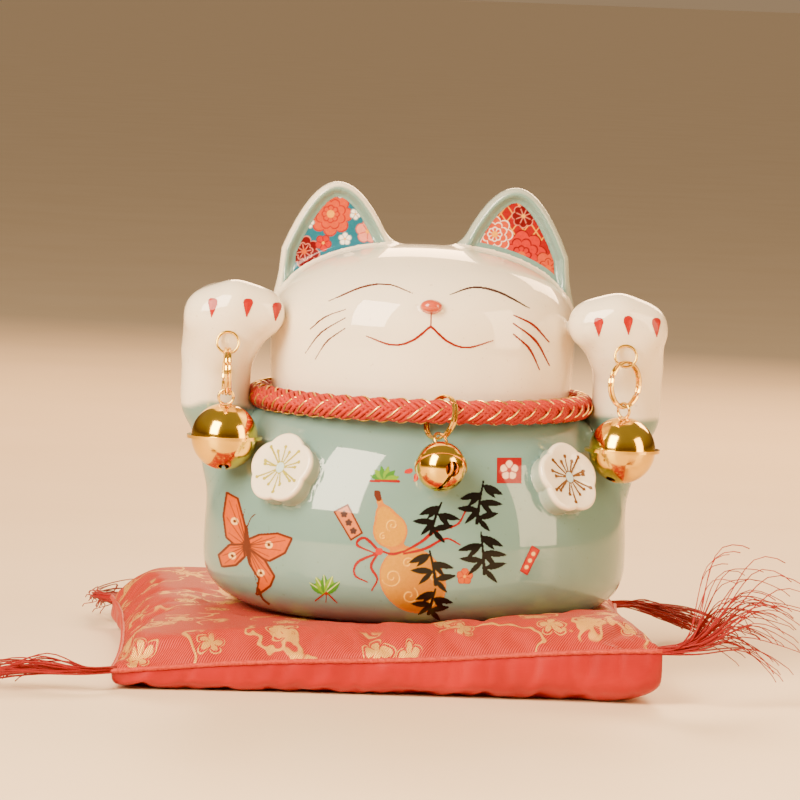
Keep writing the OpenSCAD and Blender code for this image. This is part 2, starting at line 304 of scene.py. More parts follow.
@within((14, -50, 18), (54, -12, 56))
def blossom_field(P):
    Q = blossom_local(P)
    edge = blossom_edge(Q) + 0.12 * np.clip(BLOSSOM_T - Q[:, 2], 0, 8)
    dish = 0.5 * smooth_step(0, -6, blossom_edge(Q))
    thick = np.maximum(Q[:, 2] - BLOSSOM_T + dish, -Q[:, 2] - 2.5)
    return rounded_slab(edge, thick, 1.0)


SIDES = {"left": -1, "right": 1}


def on_side(field, side):
    """The field's copy on one side only."""
    return lambda P: np.where(P[:, 0] * side > 0, field(P), 20 + np.abs(P[:, 0]))


CERAMIC = {"body_shell": body_field, "head_shell": head_field, "nose": nose_field}
for part_name, side in SIDES.items():
    CERAMIC[f"{part_name}_ear"] = on_side(ear_field, side)
    CERAMIC[f"{part_name}_arm"] = on_side(arm_field, side)
    CERAMIC[f"{part_name}_blossom"] = on_side(blossom_field, side)


def cat_field(P):
    """The whole glazed surface, with the joints between castings blended."""
    lower = smooth_min(body_field(P), arm_field(P), 5)
    upper = smooth_min(head_field(P), ear_field(P), 4)
    upper = smooth_min(upper, nose_field(P), 0.8)
    both = smooth_min(lower, upper, 1.6)
    return smooth_min(both, blossom_field(P), 1.0)


def piece_field(name):
    """The glazed surface where one casting owns it. Elsewhere it dips under its neighbours."""
    own = CERAMIC[name]
    others = [f for n, f in CERAMIC.items() if n != name]
    hollow = name in ("body_shell", "head_shell")

    def field(P):
        whole = cat_field(P)
        nearest = np.min([f(P) for f in others], 0)
        out = whole + 1.3 * np.maximum(0, own(P) - nearest)
        if hollow:
            out = smooth_max(out, -(whole + WALL), 0.4)
        if name == "body_shell":
            vent = VENT_R - np.hypot(P[:, 0], P[:, 1])
            out = smooth_max(out, np.where(P[:, 2] < SEAT + 2 * WALL, vent, -50), 0.6)
        return out

    return field


def gradient(field, P, e=0.02):
    out = np.empty_like(P)
    for i in range(3):
        step = np.zeros(3)
        step[i] = e
        out[:, i] = (field(P + step) - field(P - step)) / (2 * e)
    return out


def unit(v):
    return v / (np.linalg.norm(v, axis=-1, keepdims=True) + 1e-12)


# ---- Meshes from fields ----

CORNERS = np.array([(i, j, k) for i in (0, 1) for j in (0, 1) for k in (0, 1)])
EDGES = [(a, b) for a in range(8) for b in range(a + 1, 8) if np.abs(CORNERS[a] - CORNERS[b]).sum() == 1]
BLOCK = 4




def field_grid(field, low, high, step):
    """The field on a grid, worked out point by point only in the blocks that its surface may cross."""
    shape = [int(np.ceil((h - l) / (step * BLOCK))) + 1 for l, h in zip(low, high)]
    middle = [l + step * (BLOCK * np.arange(n) + (BLOCK - 1) / 2) for l, n in zip(low, shape)]
    C = np.stack(np.meshgrid(*middle, indexing="ij"), -1).reshape(-1, 3)
    coarse = field(C)
    near = np.abs(coarse) < 1.3 * BLOCK * step
    offsets = (np.indices((BLOCK,) * 3).reshape(3, -1).T - (BLOCK - 1) / 2) * step
    V = np.repeat(coarse[:, None], BLOCK**3, 1)
    P = (C[near][:, None] + offsets).reshape(-1, 3)
    V[near] = np.concatenate([field(p) for p in np.array_split(P, len(P) // 300000 + 1)]).reshape(-1, BLOCK**3)
    V = V.reshape(*shape, BLOCK, BLOCK, BLOCK).transpose(0, 3, 1, 4, 2, 5)
    return V.reshape([n * BLOCK for n in shape])


def field_surface(field, low, high, step, relax=2):
    """Vertices, in millimetres, and quads of a field's zero surface, by surface nets."""
    V = field_grid(field, low, high, step)
    inside = V < 0
    cells = tuple(n - 1 for n in V.shape)
    count = sum(inside[i:i + cells[0], j:j + cells[1], k:k + cells[2]].astype(int) for i, j, k in CORNERS)
    active = (count > 0) & (count < 8)
    index = np.full(cells, -1)
    index[active] = np.arange(active.sum())
    cell = np.stack(np.nonzero(active), 1)
    values = np.stack([V[tuple((cell + c).T)] for c in CORNERS], 1)
    total, hits = np.zeros((len(cell), 3)), np.zeros(len(cell))
    for a, b in EDGES:
        va, vb = values[:, a], values[:, b]
        crossed = (va < 0) != (vb < 0)
        t = np.where(crossed, va / np.where(crossed, va - vb, 1), 0)
        total += crossed[:, None] * (CORNERS[a] + t[:, None] * (CORNERS[b] - CORNERS[a]))
        hits += crossed
    verts = np.array(low) + step * (cell + total / hits[:, None])
    quads = []
    for axis in range(3):
        u, v = [(1, 2), (2, 0), (0, 1)][axis]
        lower = inside[tuple(slice(0, -1) if i == axis else slice(1, -1) for i in range(3))]
        upper = inside[tuple(slice(1, None) if i == axis else slice(1, -1) for i in range(3))]
        at = np.stack(np.nonzero(lower != upper), 1)
        down = lower[tuple(at.T)]
        at[:, [i for i in range(3) if i != axis]] += 1
        ring = []
        for du, dv in ((-1, -1), (0, -1), (0, 0), (-1, 0)):
            c = at.copy()
            c[:, u] += du
            c[:, v] += dv
            ring.append(index[tuple(c.T)])
        quad = np.stack(ring, 1)
        quads.append(np.where(down[:, None], quad, quad[:, ::-1]))
    quads = np.concatenate(quads)
    ends = np.concatenate([quads, np.roll(quads, 1, 1)], 1).reshape(len(quads), 2, 4)
    a, b = ends[:, 0].ravel(), ends[:, 1].ravel()
    for turn in range(relax + 1):
        if turn:
            near, n = np.zeros_like(verts), np.zeros(len(verts))
            for p, q in ((a, b), (b, a)):
                np.add.at(near, p, verts[q])
                np.add.at(n, p, 1)
            verts = 0.4 * verts + 0.6 * near / n[:, None]
        for _ in range(3):
            g = gradient(field, verts)
            move = field(verts)[:, None] * g / ((g**2).sum(1, keepdims=True) + 1e-6)
            size = np.linalg.norm(move, axis=1, keepdims=True)
            verts = verts - move * np.minimum(1, 0.6 * step / (size + 1e-9))
    return verts, quads


def add_object(name, data):
    ob = bpy.data.objects.new(name, data)
    bpy.context.scene.collection.objects.link(ob)
    return ob


def grid_quads(i, j, n):
    """Quads on a grid of points, n to a row, from the place of their first corners."""
    return np.stack([i * n + j, (i + 1) * n + j, (i + 1) * n + j + 1, i * n + j + 1], 1)


def make_mesh(name, verts, faces, normals=None, colour=None, material=None):
    """A mesh object from vertices in millimetres, with optional vertex normals and colours."""
    mesh = bpy.data.meshes.new(name)
    faces = faces.tolist() if isinstance(faces, np.ndarray) else faces
    mesh.from_pydata(np.asarray(verts) * MM, [], [tuple(f) for f in faces])
    mesh.polygons.foreach_set("use_smooth", np.ones(len(mesh.polygons), bool))
    if colour is not None:
        layer = mesh.color_attributes.new("Paint", "FLOAT_COLOR", "POINT")
        rgba = np.concatenate([colour, np.ones((len(verts), 1))], 1)
        layer.data.foreach_set("color", rgba.astype(np.float32).ravel())
    mesh.update()
    if normals is not None:
        mesh.normals_split_custom_set_from_vertices(np.asarray(normals).tolist())
    if material:
        mesh.materials.append(material)
    return add_object(name, mesh)


def slot_of(part_name):
    """The record's material slot of a CAD node."""
    return next(s["material_slot"] for s in frame["record"]["subparts"] if s["node"] == part_name)


def place(ob, body, slot, *nodes):
    """Rides a piece on its body and hides the CAD nodes that it stands for. The slot is not used."""
    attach(ob, body)
    if nodes:
        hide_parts(*nodes)
    return ob


# ---- Materials ----


def new_material(name):
    mat = bpy.data.materials.new(name)
    mat.use_nodes = True
    tree = mat.node_tree
    return mat, tree, tree.nodes["Principled BSDF"]


def feed(socket, value):
    """Links an input to another node's output, or sets it to a constant."""
    if isinstance(value, bpy.types.NodeSocket):
        socket.id_data.links.new(value, socket)
    elif value is not None:
        socket.default_value = value


def adjust(made, **settings):
    """Feeds a node's inputs, written with underscores for spaces, and sets its other properties."""
    for key, value in settings.items():
        socket = made.inputs.get(key.replace("_", " "))
        if socket is None:
            setattr(made, key, value)
        else:
            feed(socket, value)


def node(tree, kind, **settings):
    made = tree.nodes.new(kind)
    adjust(made, **settings)
    return made


def noise(tree, scale, detail=3.0, rough=0.5):
    """The grey output of a noise texture that stays with the object."""
    where = tree.nodes.get("Texture Coordinate") or node(tree, "ShaderNodeTexCoord")
    made = node(tree, "ShaderNodeTexNoise", Scale=scale, Detail=detail, Roughness=rough,
                Vector=where.outputs["Object"])
    return made.outputs["Fac"]


def ramp(tree, factor, *stops):
    """The colour that a factor picks between stops, each a place and a colour."""
    made = node(tree, "ShaderNodeValToRGB", Fac=factor)
    elements = made.color_ramp.elements
    while len(elements) < len(stops):
        elements.new(0.5)
    for element, (at, colour) in zip(elements, stops):
        element.position = at
        element.color = (*colour, 1)
    return made.outputs["Color"]


def mix(tree, factor, a, b, blend="MIX"):
    made = node(tree, "ShaderNodeMix", data_type="RGBA", blend_type=blend)
    for socket, value in ((0, factor), (6, a), (7, b)):
        feed(made.inputs[socket], value)
    return made.outputs[2]


def bump(tree, height, distance, strength):
    return node(tree, "ShaderNodeBump", Strength=strength, Distance=distance, Height=height).outputs["Normal"]


def glaze_material():
    """Clear glossy glaze over the colour painted on the clay, pooled and thinned a little."""
    mat, tree, shader = new_material("glaze")
    paint = node(tree, "ShaderNodeVertexColor", layer_name="Paint").outputs["Color"]
    pool = ramp(tree, noise(tree, 45, 4), (0.3, (0.93, 0.94, 0.94)), (0.7, WHITE))
    tint = mix(tree, 1.0, paint, pool, "MULTIPLY")
    speck = ramp(tree, noise(tree, 900, 1), (0.24, (0.72, 0.66, 0.6)), (0.27, WHITE))
    adjust(shader, Base_Color=mix(tree, 0.5, tint, mix(tree, 1.0, tint, speck, "MULTIPLY")),
           Roughness=0.45, Specular_IOR_Level=0.2, Coat_Weight=1.0, Coat_Roughness=0.035, Coat_IOR=1.55,
           Subsurface_Weight=0.12, Subsurface_Radius=(0.004, 0.003, 0.002), Subsurface_Scale=0.4,
           Normal=bump(tree, noise(tree, 60, 2), 0.0002, 0.25))
    return mat


def decal_material():
    """Printed overglaze colours under a thin clear coat."""
    mat, tree, shader = new_material("decal")
    paint = node(tree, "ShaderNodeVertexColor", layer_name="Paint").outputs["Color"]
    grain = ramp(tree, noise(tree, 1500, 2), (0.3, (0.88, 0.88, 0.88)), (0.7, WHITE))
    adjust(shader, Base_Color=mix(tree, 1.0, paint, grain, "MULTIPLY"),
           Roughness=0.4, Specular_IOR_Level=0.05, Coat_Weight=0.4, Coat_Roughness=0.05)
    return mat


def gold_material(name, colour, rough):
    """Polished gilt brass with faint smears and fine scratches."""
    mat, tree, shader = new_material(name)
    smear = noise(tree, 160, 5)
    span = node(tree, "ShaderNodeMapRange", Value=smear, To_Min=rough, To_Max=rough + 0.1)
    adjust(shader, Base_Color=ramp(tree, smear, (0.3, tuple(c * 0.86 for c in colour)), (0.7, colour)),
           Metallic=1.0, Roughness=span.outputs["Result"],
           Normal=bump(tree, noise(tree, 260, 3), 0.00008, 0.3))
    return mat


glaze = glaze_material()
enamel = decal_material()
gold = gold_material("gilt_brass", GOLD, 0.07)
gold_wire = gold_material("gilt_wire", (0.93, 0.60, 0.10), 0.12)

# ---- The glazed castings ----


def tinted(colour, share, paint):
    return colour + share[:, None] * (np.array(paint) - colour)


def paint_cat(P, name):
    """Colour of the clay and glaze at points of one casting."""
    x, y, z = P.T
    wander = 0.5 * np.sin(0.31 * x + 1.7 * np.sin(0.2 * y)) + 0.4 * np.sin(0.53 * z + 0.4 * x)
    colour = np.tile(CREAM, (len(P), 1))
    blue = np.zeros(len(P))
    if name == "body_shell":
        blue[:] = 1
    if name.endswith("_arm"):
        blue = 1 - smooth_step(-0.8, 0.8, z - (SEAT + 51.5 + wander))
    if name == "head_shell":
        blue = smooth_step(-1.2, 1.2, y - (9 + wander))
    if name.endswith("_ear"):
        rim = smooth_step(-1.5, -0.7, ear_plane(P)) * smooth_step(4, 0, y - EAR_TIP[1])
        blue = 1 - rim * np.where(x < 0, 0.95, 0.35)
    if name.endswith("_blossom"):
        Q = blossom_local(P)
        blue = 0.8 * smooth_step(BLOSSOM_T - 0.7, BLOSSOM_T - 1.8, Q[:, 2])
        heart = smooth_step(-2.5, -8, blossom_edge(Q)) * (Q[:, 2] > BLOSSOM_T - 1.5)
        blue = np.maximum(blue, 0.22 * heart)
    colour = tinted(colour, blue, CELADON)
    if name == "nose":
        colour = tinted(colour, smooth_step(0.5, -0.15, nose_field(P) - 0.1), CORAL)
    return tinted(colour, smooth_step(SEAT + 0.9, SEAT + 0.3, z), BISQUE)


STEPS = {"body_shell": 1.0, "head_shell": 1.0, "nose": 0.25, "ear": 0.5, "arm": 0.7, "blossom": 0.4}
PAD = 3.0  # room left round each casting's box
NECK = 6.0  # further room where the body and head meet

for part_name in CERAMIC:
    low, high = box(part_name)
    step = STEPS.get(part_name) or STEPS[part_name.split("_")[1]]
    if part_name == "body_shell":
        high[2] += NECK
    if part_name == "head_shell":
        low[2] -= NECK
    surface = piece_field(part_name)
    verts, quads = field_surface(surface, low - PAD, high + PAD, step)
    shown = np.abs(cat_field(verts)) < 0.15
    normals = unit(np.where(shown[:, None], gradient(cat_field, verts), gradient(surface, verts)))
    ob = make_mesh(part_name + "_glazed", verts, quads, normals, paint_cat(verts, part_name), glaze)
    place(ob, "cat", slot_of(part_name), part_name)


# ---- Tubes and threads ----


def run_along(path):
    """Distance along a path to each of its points."""
    return np.concatenate([[0], np.cumsum(np.linalg.norm(np.diff(path, axis=0), axis=1))])


def smooth_path(points, count):
    """Evenly spaced points on a Catmull-Rom curve."""
    points = np.array(points, float)
    ends = np.array([2 * points[0] - points[1], *points, 2 * points[-1] - points[-2]])
    t = np.linspace(0, 1, 12, endpoint=False)[:, None]
    fine = [0.5 * (2 * b + (c - a) * t + (2 * a - 5 * b + 4 * c - d) * t**2 + (3 * b - a - 3 * c + d) * t**3)
            for a, b, c, d in zip(ends, ends[1:], ends[2:], ends[3:])]
    fine = np.concatenate([*fine, points[-1:]])
    run = run_along(fine)
    at = np.linspace(0, run[-1], count)
    return np.stack([np.interp(at, run, fine[:, i]) for i in range(3)], 1)


def tube(path, radius, sides=8, closed=False):
    """Vertices and quads of a round tube along a path, with small closed ends."""
    path = np.array(path, float)
    n = len(path)
    along = unit(np.roll(path, -1, 0) - np.roll(path, 1, 0)) if closed else unit(np.gradient(path, axis=0))
    side = np.empty_like(path)
    side[0] = unit(np.cross(along[0], [0.3, 0.2, 1.0] if abs(along[0][2]) < 0.9 else [1.0, 0, 0]))
    for i in range(1, n):
        side[i] = unit(side[i - 1] - (side[i - 1] @ along[i]) * along[i])
    up = np.cross(along, side)
    a = np.linspace(0, 2 * np.pi, sides, endpoint=False)
    if closed:
        twist = math.atan2(side[-1] @ up[0], side[-1] @ side[0])
        a = a[None] - (np.arange(n) / n * twist)[:, None]
    else:
        a = np.tile(a, (n, 1))
    r = np.broadcast_to(np.asarray(radius, float), (n,))[:, None, None]
    ring = np.cos(a)[..., None] * side[:, None] + np.sin(a)[..., None] * up[:, None]
    verts = (path[:, None] + r * ring).reshape(-1, 3)
    i = np.arange(n if closed else n - 1)[:, None]
    j = np.arange(sides)[None]
    k, m = (i + 1) % n, (j + 1) % sides
    quads = np.stack([i * sides + j, i * sides + m, k * sides + m, k * sides + j], -1).reshape(-1, 4)
    if closed:
        return verts, quads, np.empty((0, 3), int)
    j, m = j[0], m[0]
    tip, far = np.full(sides, len(verts)), (n - 1) * sides
    caps = np.concatenate([np.stack([m, j, tip], 1), np.stack([j + far, m + far, tip + 1], 1)])
    return np.concatenate([verts, path[[0, -1]]]), quads, caps


def join(tubes):
    """One list of vertices and faces from several tubes."""
    verts, faces, base = [], [], 0
    for v, quads, tris in tubes:
        verts.append(v)
        faces += (quads + base).tolist() + (tris + base).tolist()
        base += len(v)
    return np.concatenate(verts), faces


def tubes_object(name, tubes, material):
    """Several tubes as one object."""
    return make_mesh(name, *join(tubes), material=material)


# ---- The braided collar ----


def cord_material(name, dark, light, fine):
    """Dull twisted fibres."""
    mat, tree, shader = new_material(name)
    fibre = noise(tree, fine, 3, 0.7)
    adjust(shader, Base_Color=ramp(tree, fibre, (0.3, dark), (0.7, light)),
           Roughness=0.55, Specular_IOR_Level=0.25, Sheen_Weight=0.06, Sheen_Roughness=0.4,
           Sheen_Tint=(1.0, 0.55, 0.45, 1), Normal=bump(tree, fibre, 0.0001, 0.6))
    return mat


braid_red = cord_material("braid_red", (0.27, 0.008, 0.004), (0.55, 0.034, 0.014), 2600)
thread_red = cord_material("thread_red", (0.20, 0.003, 0.004), (0.34, 0.006, 0.007), 3000)
gold_thread = gold_material("gold_thread", (0.98, 0.62, 0.14), 0.25)

CROSSINGS = 13  # turns that each strand makes round the cord
STRANDS = 4  # strands each way
BRAID_R = 2.05
BRAID_LIFT = 0.52
YARN_R = 0.53
CORE_R = 1.9
TURN_POINTS = 22  # points along a strand in one turn


def cord_circle(s):
    """The cord's centre and outward direction at shares s of the way round from the front, and its length."""
    t = np.linspace(-np.pi / 2, 1.5 * np.pi, 721)
    depth = np.where((t < 0) | (t >= np.pi), CORD_FRONT, CORD_BACK)
    loop = np.stack([CORD_A * np.cos(t), depth * np.sin(t)], 1)
    run = run_along(loop)
    at = (s % 1) * run[-1]
    x, y = [np.interp(at, run, loop[:, i]) for i in (0, 1)]
    next_x, next_y = [np.interp((at + 1) % run[-1], run, loop[:, i]) for i in (0, 1)]
    out = unit(np.stack([next_y - y, x - next_x, np.zeros_like(x)], 1))
    return np.stack([x, y, np.full_like(x, CORD_Z)], 1), out, run[-1]


def braid():
    """Strands of three yarns each that cross over and under, every one with a gold thread beside it."""
    red, gilt = [], []
    # Offset across the strand, radius and sides of each thread, how far out it lies, and its colour
    threads = [(offset, YARN_R, 6, 0.06, red) for offset in (-1.0, 0.0, 1.0)] + [(1.62, 0.26, 5, 0.42, gilt)]
    length = cord_circle(np.zeros(1))[2]
    slope = math.atan2(2 * math.pi * BRAID_R * CROSSINGS, length)
    s = np.linspace(0, 1, CROSSINGS * TURN_POINTS, endpoint=False)
    for way in (1, -1):
        for strand in range(STRANDS):
            turn = way * 2 * np.pi * CROSSINGS * s + 2 * np.pi * strand / STRANDS
            lift = -way * BRAID_LIFT * np.sin(2 * turn)
            for offset, r, sides, proud, bucket in threads:
                theta = turn + offset * math.cos(slope) / BRAID_R
                centre, out, _ = cord_circle(s - way * offset * math.sin(slope) / length)
                high = BRAID_R + lift + proud
                p = centre + out * (high * np.cos(theta))[:, None]
                p[:, 2] += high * np.sin(theta)
                bucket.append(tube(p, r, sides, True))
    middle = cord_circle(np.linspace(0, 1, 160, endpoint=False))[0]
    cord = tubes_object("collar_braid", red, braid_red)
    trim = tubes_object("collar_gold_thread", gilt, gold_thread)
    core = tubes_object("collar_core", [tube(middle, CORE_R, 12, True)], thread_red)
    place(cord, "cat", slot_of("collar_cord"), "collar_cord")
    place(core, "cat", slot_of("collar_cord"))
    place(trim, "cat", slot_of("collar_cord"))


braid()

# ---- Metal fittings: the CAD shapes, with a material ----

METALS = {
    ("_loop", "_ring", "_shank", "_clasp"): gold_wire,
    ("_bell_upper", "_bell_lower"): gold,
    ("_pellet",): gold_material("steel", (0.62, 0.6, 0.58), 0.2),
}
for part_name, ob in frame["nodes"].items():
    for ends, metal in METALS.items():
        if part_name.endswith(ends):
            ob.data.materials.clear()
            ob.data.materials.append(metal)
            slot_of(part_name)

# ---- Cushion ----

low, high = box("brocade_cover")
CUSHION_X = (low[0] + high[0]) / 2
HALF = (high[0] - low[0]) / 2
SEAM_Z = box("satin_cover")[1][2]
CREST = 7.0  # rise of the crown above the seam
PULL = 0.045  # how far the sides pull in between the corners, as a share of the half width
SLACK = 1.06  # size of the cut cloth against the finished cushion
WRINKLE = 1.8  # furthest that the cloth may move from the plain cushion
CUSHION_GRID = 96


def seam_height(x, y):
    """Height of the seam round the cushion, which lies a little unevenly."""
    u, v = x / HALF, y / HALF
    ripple = 0.35 * np.sin(5.1 * u + 2.3 * v) * np.maximum(abs(u), abs(v))
    return SEAM_Z - 0.6 + 2.6 * u - 0.2 * v - 1.7 * u * v + ripple


def cushion_outline(u, v):
    """Where a point of the unit square lies on the cushion, whose sides pull in between its corners."""
    x = HALF * u * (1 - PULL * (1 - v**2) ** 1.3)
    y = HALF * v * (1 - PULL * (1 - u**2) ** 1.3)
    corner = (u * v) ** 2 * (1 - (u * v) ** 2)
    return x * (1 - 0.03 * corner), y * (1 - 0.03 * corner)


def edge_gap(u, v):
    """Rough distance in from the seam."""
    return HALF * (1 - np.maximum(np.abs(u), np.abs(v)))


def foot_height(x, y):
    """Height of the cat's underside over a point of the cushion."""
    r = np.hypot(x + CUSHION_X, y / BODY_K)
    q = np.minimum(r, BODY_A - 0.01)
    under = BELLY_Z - FOOT_H * (1 - (q / BODY_A) ** FOOT_N) ** (1 / FOOT_N)
    return np.where(r > BODY_A - 0.05, 100, under)


def cushion_mesh():
    """The plain cushion as one closed mesh: cover above, base below, both on the same unit square."""
    n = CUSHION_GRID
    line = np.linspace(-1, 1, n)
    line = np.sign(line) * (1 - (1 - np.abs(line)) ** 1.15)
    u, v = np.meshgrid(line, line, indexing="ij")
    u, v = u.ravel(), v.ravel()
    x, y = cushion_outline(u, v)
    seam = seam_height(x, y)
    gap = edge_gap(u, v)
    dome = np.clip(gap / 13, 0, 1)
    rise = (CREST - 1.3 * smooth_step(0.2, -0.8, v)) * (1 - (1 - dome) ** 2.4) ** 0.62
    rise *= 1 - 0.32 * smooth_step(0.6, 1.0, np.abs(u * v))
    rise += 1.4 * smooth_step(0.2, -0.9, u) * smooth_step(0.2, 0.9, v) * np.clip(gap / 10, 0, 1)
    top = seam + rise
    foot = np.maximum(foot_height(x, y) - 0.4, SEAT - 0.05)
    top = np.maximum(np.minimum(smooth_min(top, foot, 0.8), foot), np.where(gap > 4, SEAT - 2, 0))
    drop = np.clip(gap / 11, 0, 1)
    base = seam * (1 - (1 - (1 - drop) ** 2.6) ** 0.55)
    border = gap < 1e-6
    above = np.stack([x + CUSHION_X, y, top], 1)
    above[border, 2] = seam[border]
    below = np.stack([x + CUSHION_X, y, np.maximum(base, 0)], 1)
    bulge = 2.3 * np.sin(np.pi * np.clip(drop / 0.5, 0, 1)) * (drop < 0.5)
    side = np.maximum(np.abs(u), np.abs(v))
    below[:, 0] += np.where(np.abs(u) >= side - 1e-9, np.sign(u), 0) * bulge
    below[:, 1] += np.where(np.abs(v) >= side - 1e-9, np.sign(v), 0) * bulge
    i, j = np.meshgrid(np.arange(n - 1), np.arange(n - 1), indexing="ij")
    cut = np.stack([u * HALF * SLACK, v * HALF * SLACK], 1)
    return above, below, grid_quads(i.ravel(), j.ravel(), n), border, cut, n


CLOTH_SCALE = 10  # the cloth is settled at ten times its size, which suits the solver
CLOTH_STEPS = 12
CLOTH = {
    "quality": 4, "mass": 0.15, "tension_stiffness": 18, "compression_stiffness": 18, "shear_stiffness": 6,
    "bending_stiffness": 0.35, "shrink_min": -0.05, "use_pressure": True, "uniform_pressure_force": 1.5,
    "vertex_group_mass": "held",
}


def settle_cloth(verts, quads, held):
    """Buckles the slightly oversize covers over their filling, and returns the settled vertices."""
    mesh = bpy.data.meshes.new("cloth")
    mesh.from_pydata(verts * MM * CLOTH_SCALE, [], [tuple(q) for q in quads.tolist()])
    ob = add_object("cloth", mesh)
    group = ob.vertex_groups.new(name="held")
    for weight in np.unique(np.round(held, 1)):
        if weight > 0:
            group.add(np.nonzero(np.round(held, 1) == weight)[0].tolist(), float(weight), "REPLACE")
    cloth = ob.modifiers.new("Cloth", "CLOTH")
    for key, value in CLOTH.items():
        setattr(cloth.settings, key, value)
    cloth.settings.effector_weights.gravity = 0
    cloth.collision_settings.use_collision = False
    scene = bpy.context.scene
    for number in range(1, CLOTH_STEPS + 1):
        scene.frame_set(number)
    settled = ob.evaluated_get(bpy.context.evaluated_depsgraph_get())
    out = np.empty(len(verts) * 3, np.float32)
    settled.data.vertices.foreach_get("co", out)
    scene.frame_set(1)
    bpy.data.objects.remove(ob)
    bpy.data.meshes.remove(mesh)
    return out.reshape(-1, 3).astype(float) / (MM * CLOTH_SCALE)


def cover_mesh(name, verts, quads, cut, thickness, material):
    """A cover as a thin shell of its own, with the place of each point on the cut cloth."""
    ob = make_mesh(name, verts, quads, material=material)
    layer = ob.data.attributes.new("Cut", "FLOAT_VECTOR", "POINT")
    layer.data.foreach_set("vector", np.c_[cut, np.zeros(len(cut))].astype(np.float32).ravel())
    solid = ob.modifiers.new("Solid", "SOLIDIFY")
    solid.thickness = thickness * MM
    solid.offset = -1
    bpy.context.view_layer.objects.active = ob
    smooth = ob.modifiers.new("Smooth", "SUBSURF")
    smooth.levels = smooth.render_levels = 1
    apply_modifiers(ob)
    return ob


def apply_modifiers(ob):
    graph = bpy.context.evaluated_depsgraph_get()
    mesh = bpy.data.meshes.new_from_object(ob.evaluated_get(graph), preserve_all_data_layers=True, depsgraph=graph)
    ob.modifiers.clear()
    old, ob.data = ob.data, mesh
    bpy.data.meshes.remove(old)


def cut_coordinates(tree, scale, turn=0.0):
    """Place on the cut cloth, in threads or motifs, as a vector."""
    where = node(tree, "ShaderNodeAttribute", attribute_name="Cut").outputs["Vector"]
    return node(tree, "ShaderNodeMapping", Vector=where, Scale=(scale, scale, scale),
                Rotation=(0, 0, turn)).outputs["Vector"]


def math_node(tree, operation, *values):
    made = node(tree, "ShaderNodeMath", operation=operation)
    for socket, value in zip(made.inputs, values):
        feed(socket, value)
    return made.outputs[0]


def step_between(tree, value, low, high):
    return node(tree, "ShaderNodeMapRange", interpolation_type="SMOOTHSTEP", Value=value, From_Min=low,
                From_Max=high).outputs["Result"]


def brocade_material():
    """Red twill with woven gold plum blossoms and branches."""
    mat, tree, shader = new_material("brocade")

    def calc(operation, *values):
        return math_node(tree, operation, *values)

    def step(value, low, high):
        return step_between(tree, value, low, high)

    def threads(turn, scale, distortion):
        where = cut_coordinates(tree, 1.0, math.radians(turn))
        return node(tree, "ShaderNodeTexWave", wave_type="BANDS", bands_direction="X", Vector=where, Scale=scale,
                    Distortion=distortion).outputs["Fac"]

    def cloud(scale, turn, detail, output="Fac"):
        where = cut_coordinates(tree, scale, turn)
        return node(tree, "ShaderNodeTexNoise", Vector=where, Scale=1.0, Detail=detail).outputs[output]

    weave = threads(40, 0.62, 0.25)
    across = threads(-52, 1.1, 0.3)

    # Blossoms, one in each cell of a warped cell pattern
    moved = node(tree, "ShaderNodeVectorMath", operation="MULTIPLY_ADD")
    feed(moved.inputs[0], cloud(0.09, 0.0, 2.0, "Color"))
    feed(moved.inputs[1], (0.5, 0.5, 0.0))
    feed(moved.inputs[2], cut_coordinates(tree, 0.075, 0.3))
    cells = node(tree, "ShaderNodeTexVoronoi", voronoi_dimensions="2D", feature="F1",
                 Vector=moved.outputs[0], Scale=1.0, Randomness=0.75)
    local = node(tree, "ShaderNodeVectorMath", operation="SUBTRACT")
    feed(local.inputs[0], moved.outputs[0])
    feed(local.inputs[1], cells.outputs["Position"])
    split = node(tree, "ShaderNodeSeparateXYZ", Vector=local.outputs[0])
    angle = calc("ARCTAN2", split.outputs["Y"], split.outputs["X"])
    lobes = calc("ABSOLUTE", calc("SINE", calc("MULTIPLY", angle, 2.5)))
    rim = calc("SUBTRACT", cells.outputs["Distance"], calc("MULTIPLY_ADD", lobes, 0.13, 0.17))
    inside = step(rim, 0.012, -0.012)
    edge = step(calc("ABSOLUTE", calc("ADD", rim, 0.05)), 0.018, 0.03)
    heart = step(cells.outputs["Distance"], 0.07, 0.055)
    petals = calc("MULTIPLY", edge, step(lobes, 0.14, 0.3))
    blossom = calc("MULTIPLY", inside, calc("MAXIMUM", petals, heart))

    # Branches between them, and bare patches of ground
    twig = calc("SUBTRACT", cloud(0.05, 0.9, 3.0), 0.5)
    branch = step(calc("ABSOLUTE", twig), 0.016, 0.008)
    here = step(cloud(0.045, 0.0, 1.0), 0.43, 0.47)
    motif = calc("MULTIPLY", calc("MAXIMUM", blossom, branch), here)

    ground = ramp(tree, weave, (0.25, (0.24, 0.003, 0.002)), (0.8, (0.52, 0.040, 0.018)))
    gilt = ramp(tree, across, (0.2, (0.50, 0.19, 0.02)), (0.8, (0.90, 0.52, 0.12)))
    relief = calc("MULTIPLY_ADD", motif, 1.2, calc("ADD", weave, calc("MULTIPLY", across, 0.5)))
    adjust(shader, Base_Color=mix(tree, motif, ground, gilt), Metallic=calc("MULTIPLY", motif, 0.55),
           Roughness=0.5, Specular_IOR_Level=0.25, Sheen_Weight=0.08, Sheen_Roughness=0.35,
           Sheen_Tint=(1.0, 0.5, 0.4, 1), Normal=bump(tree, relief, 0.00012, 0.7))
    return mat


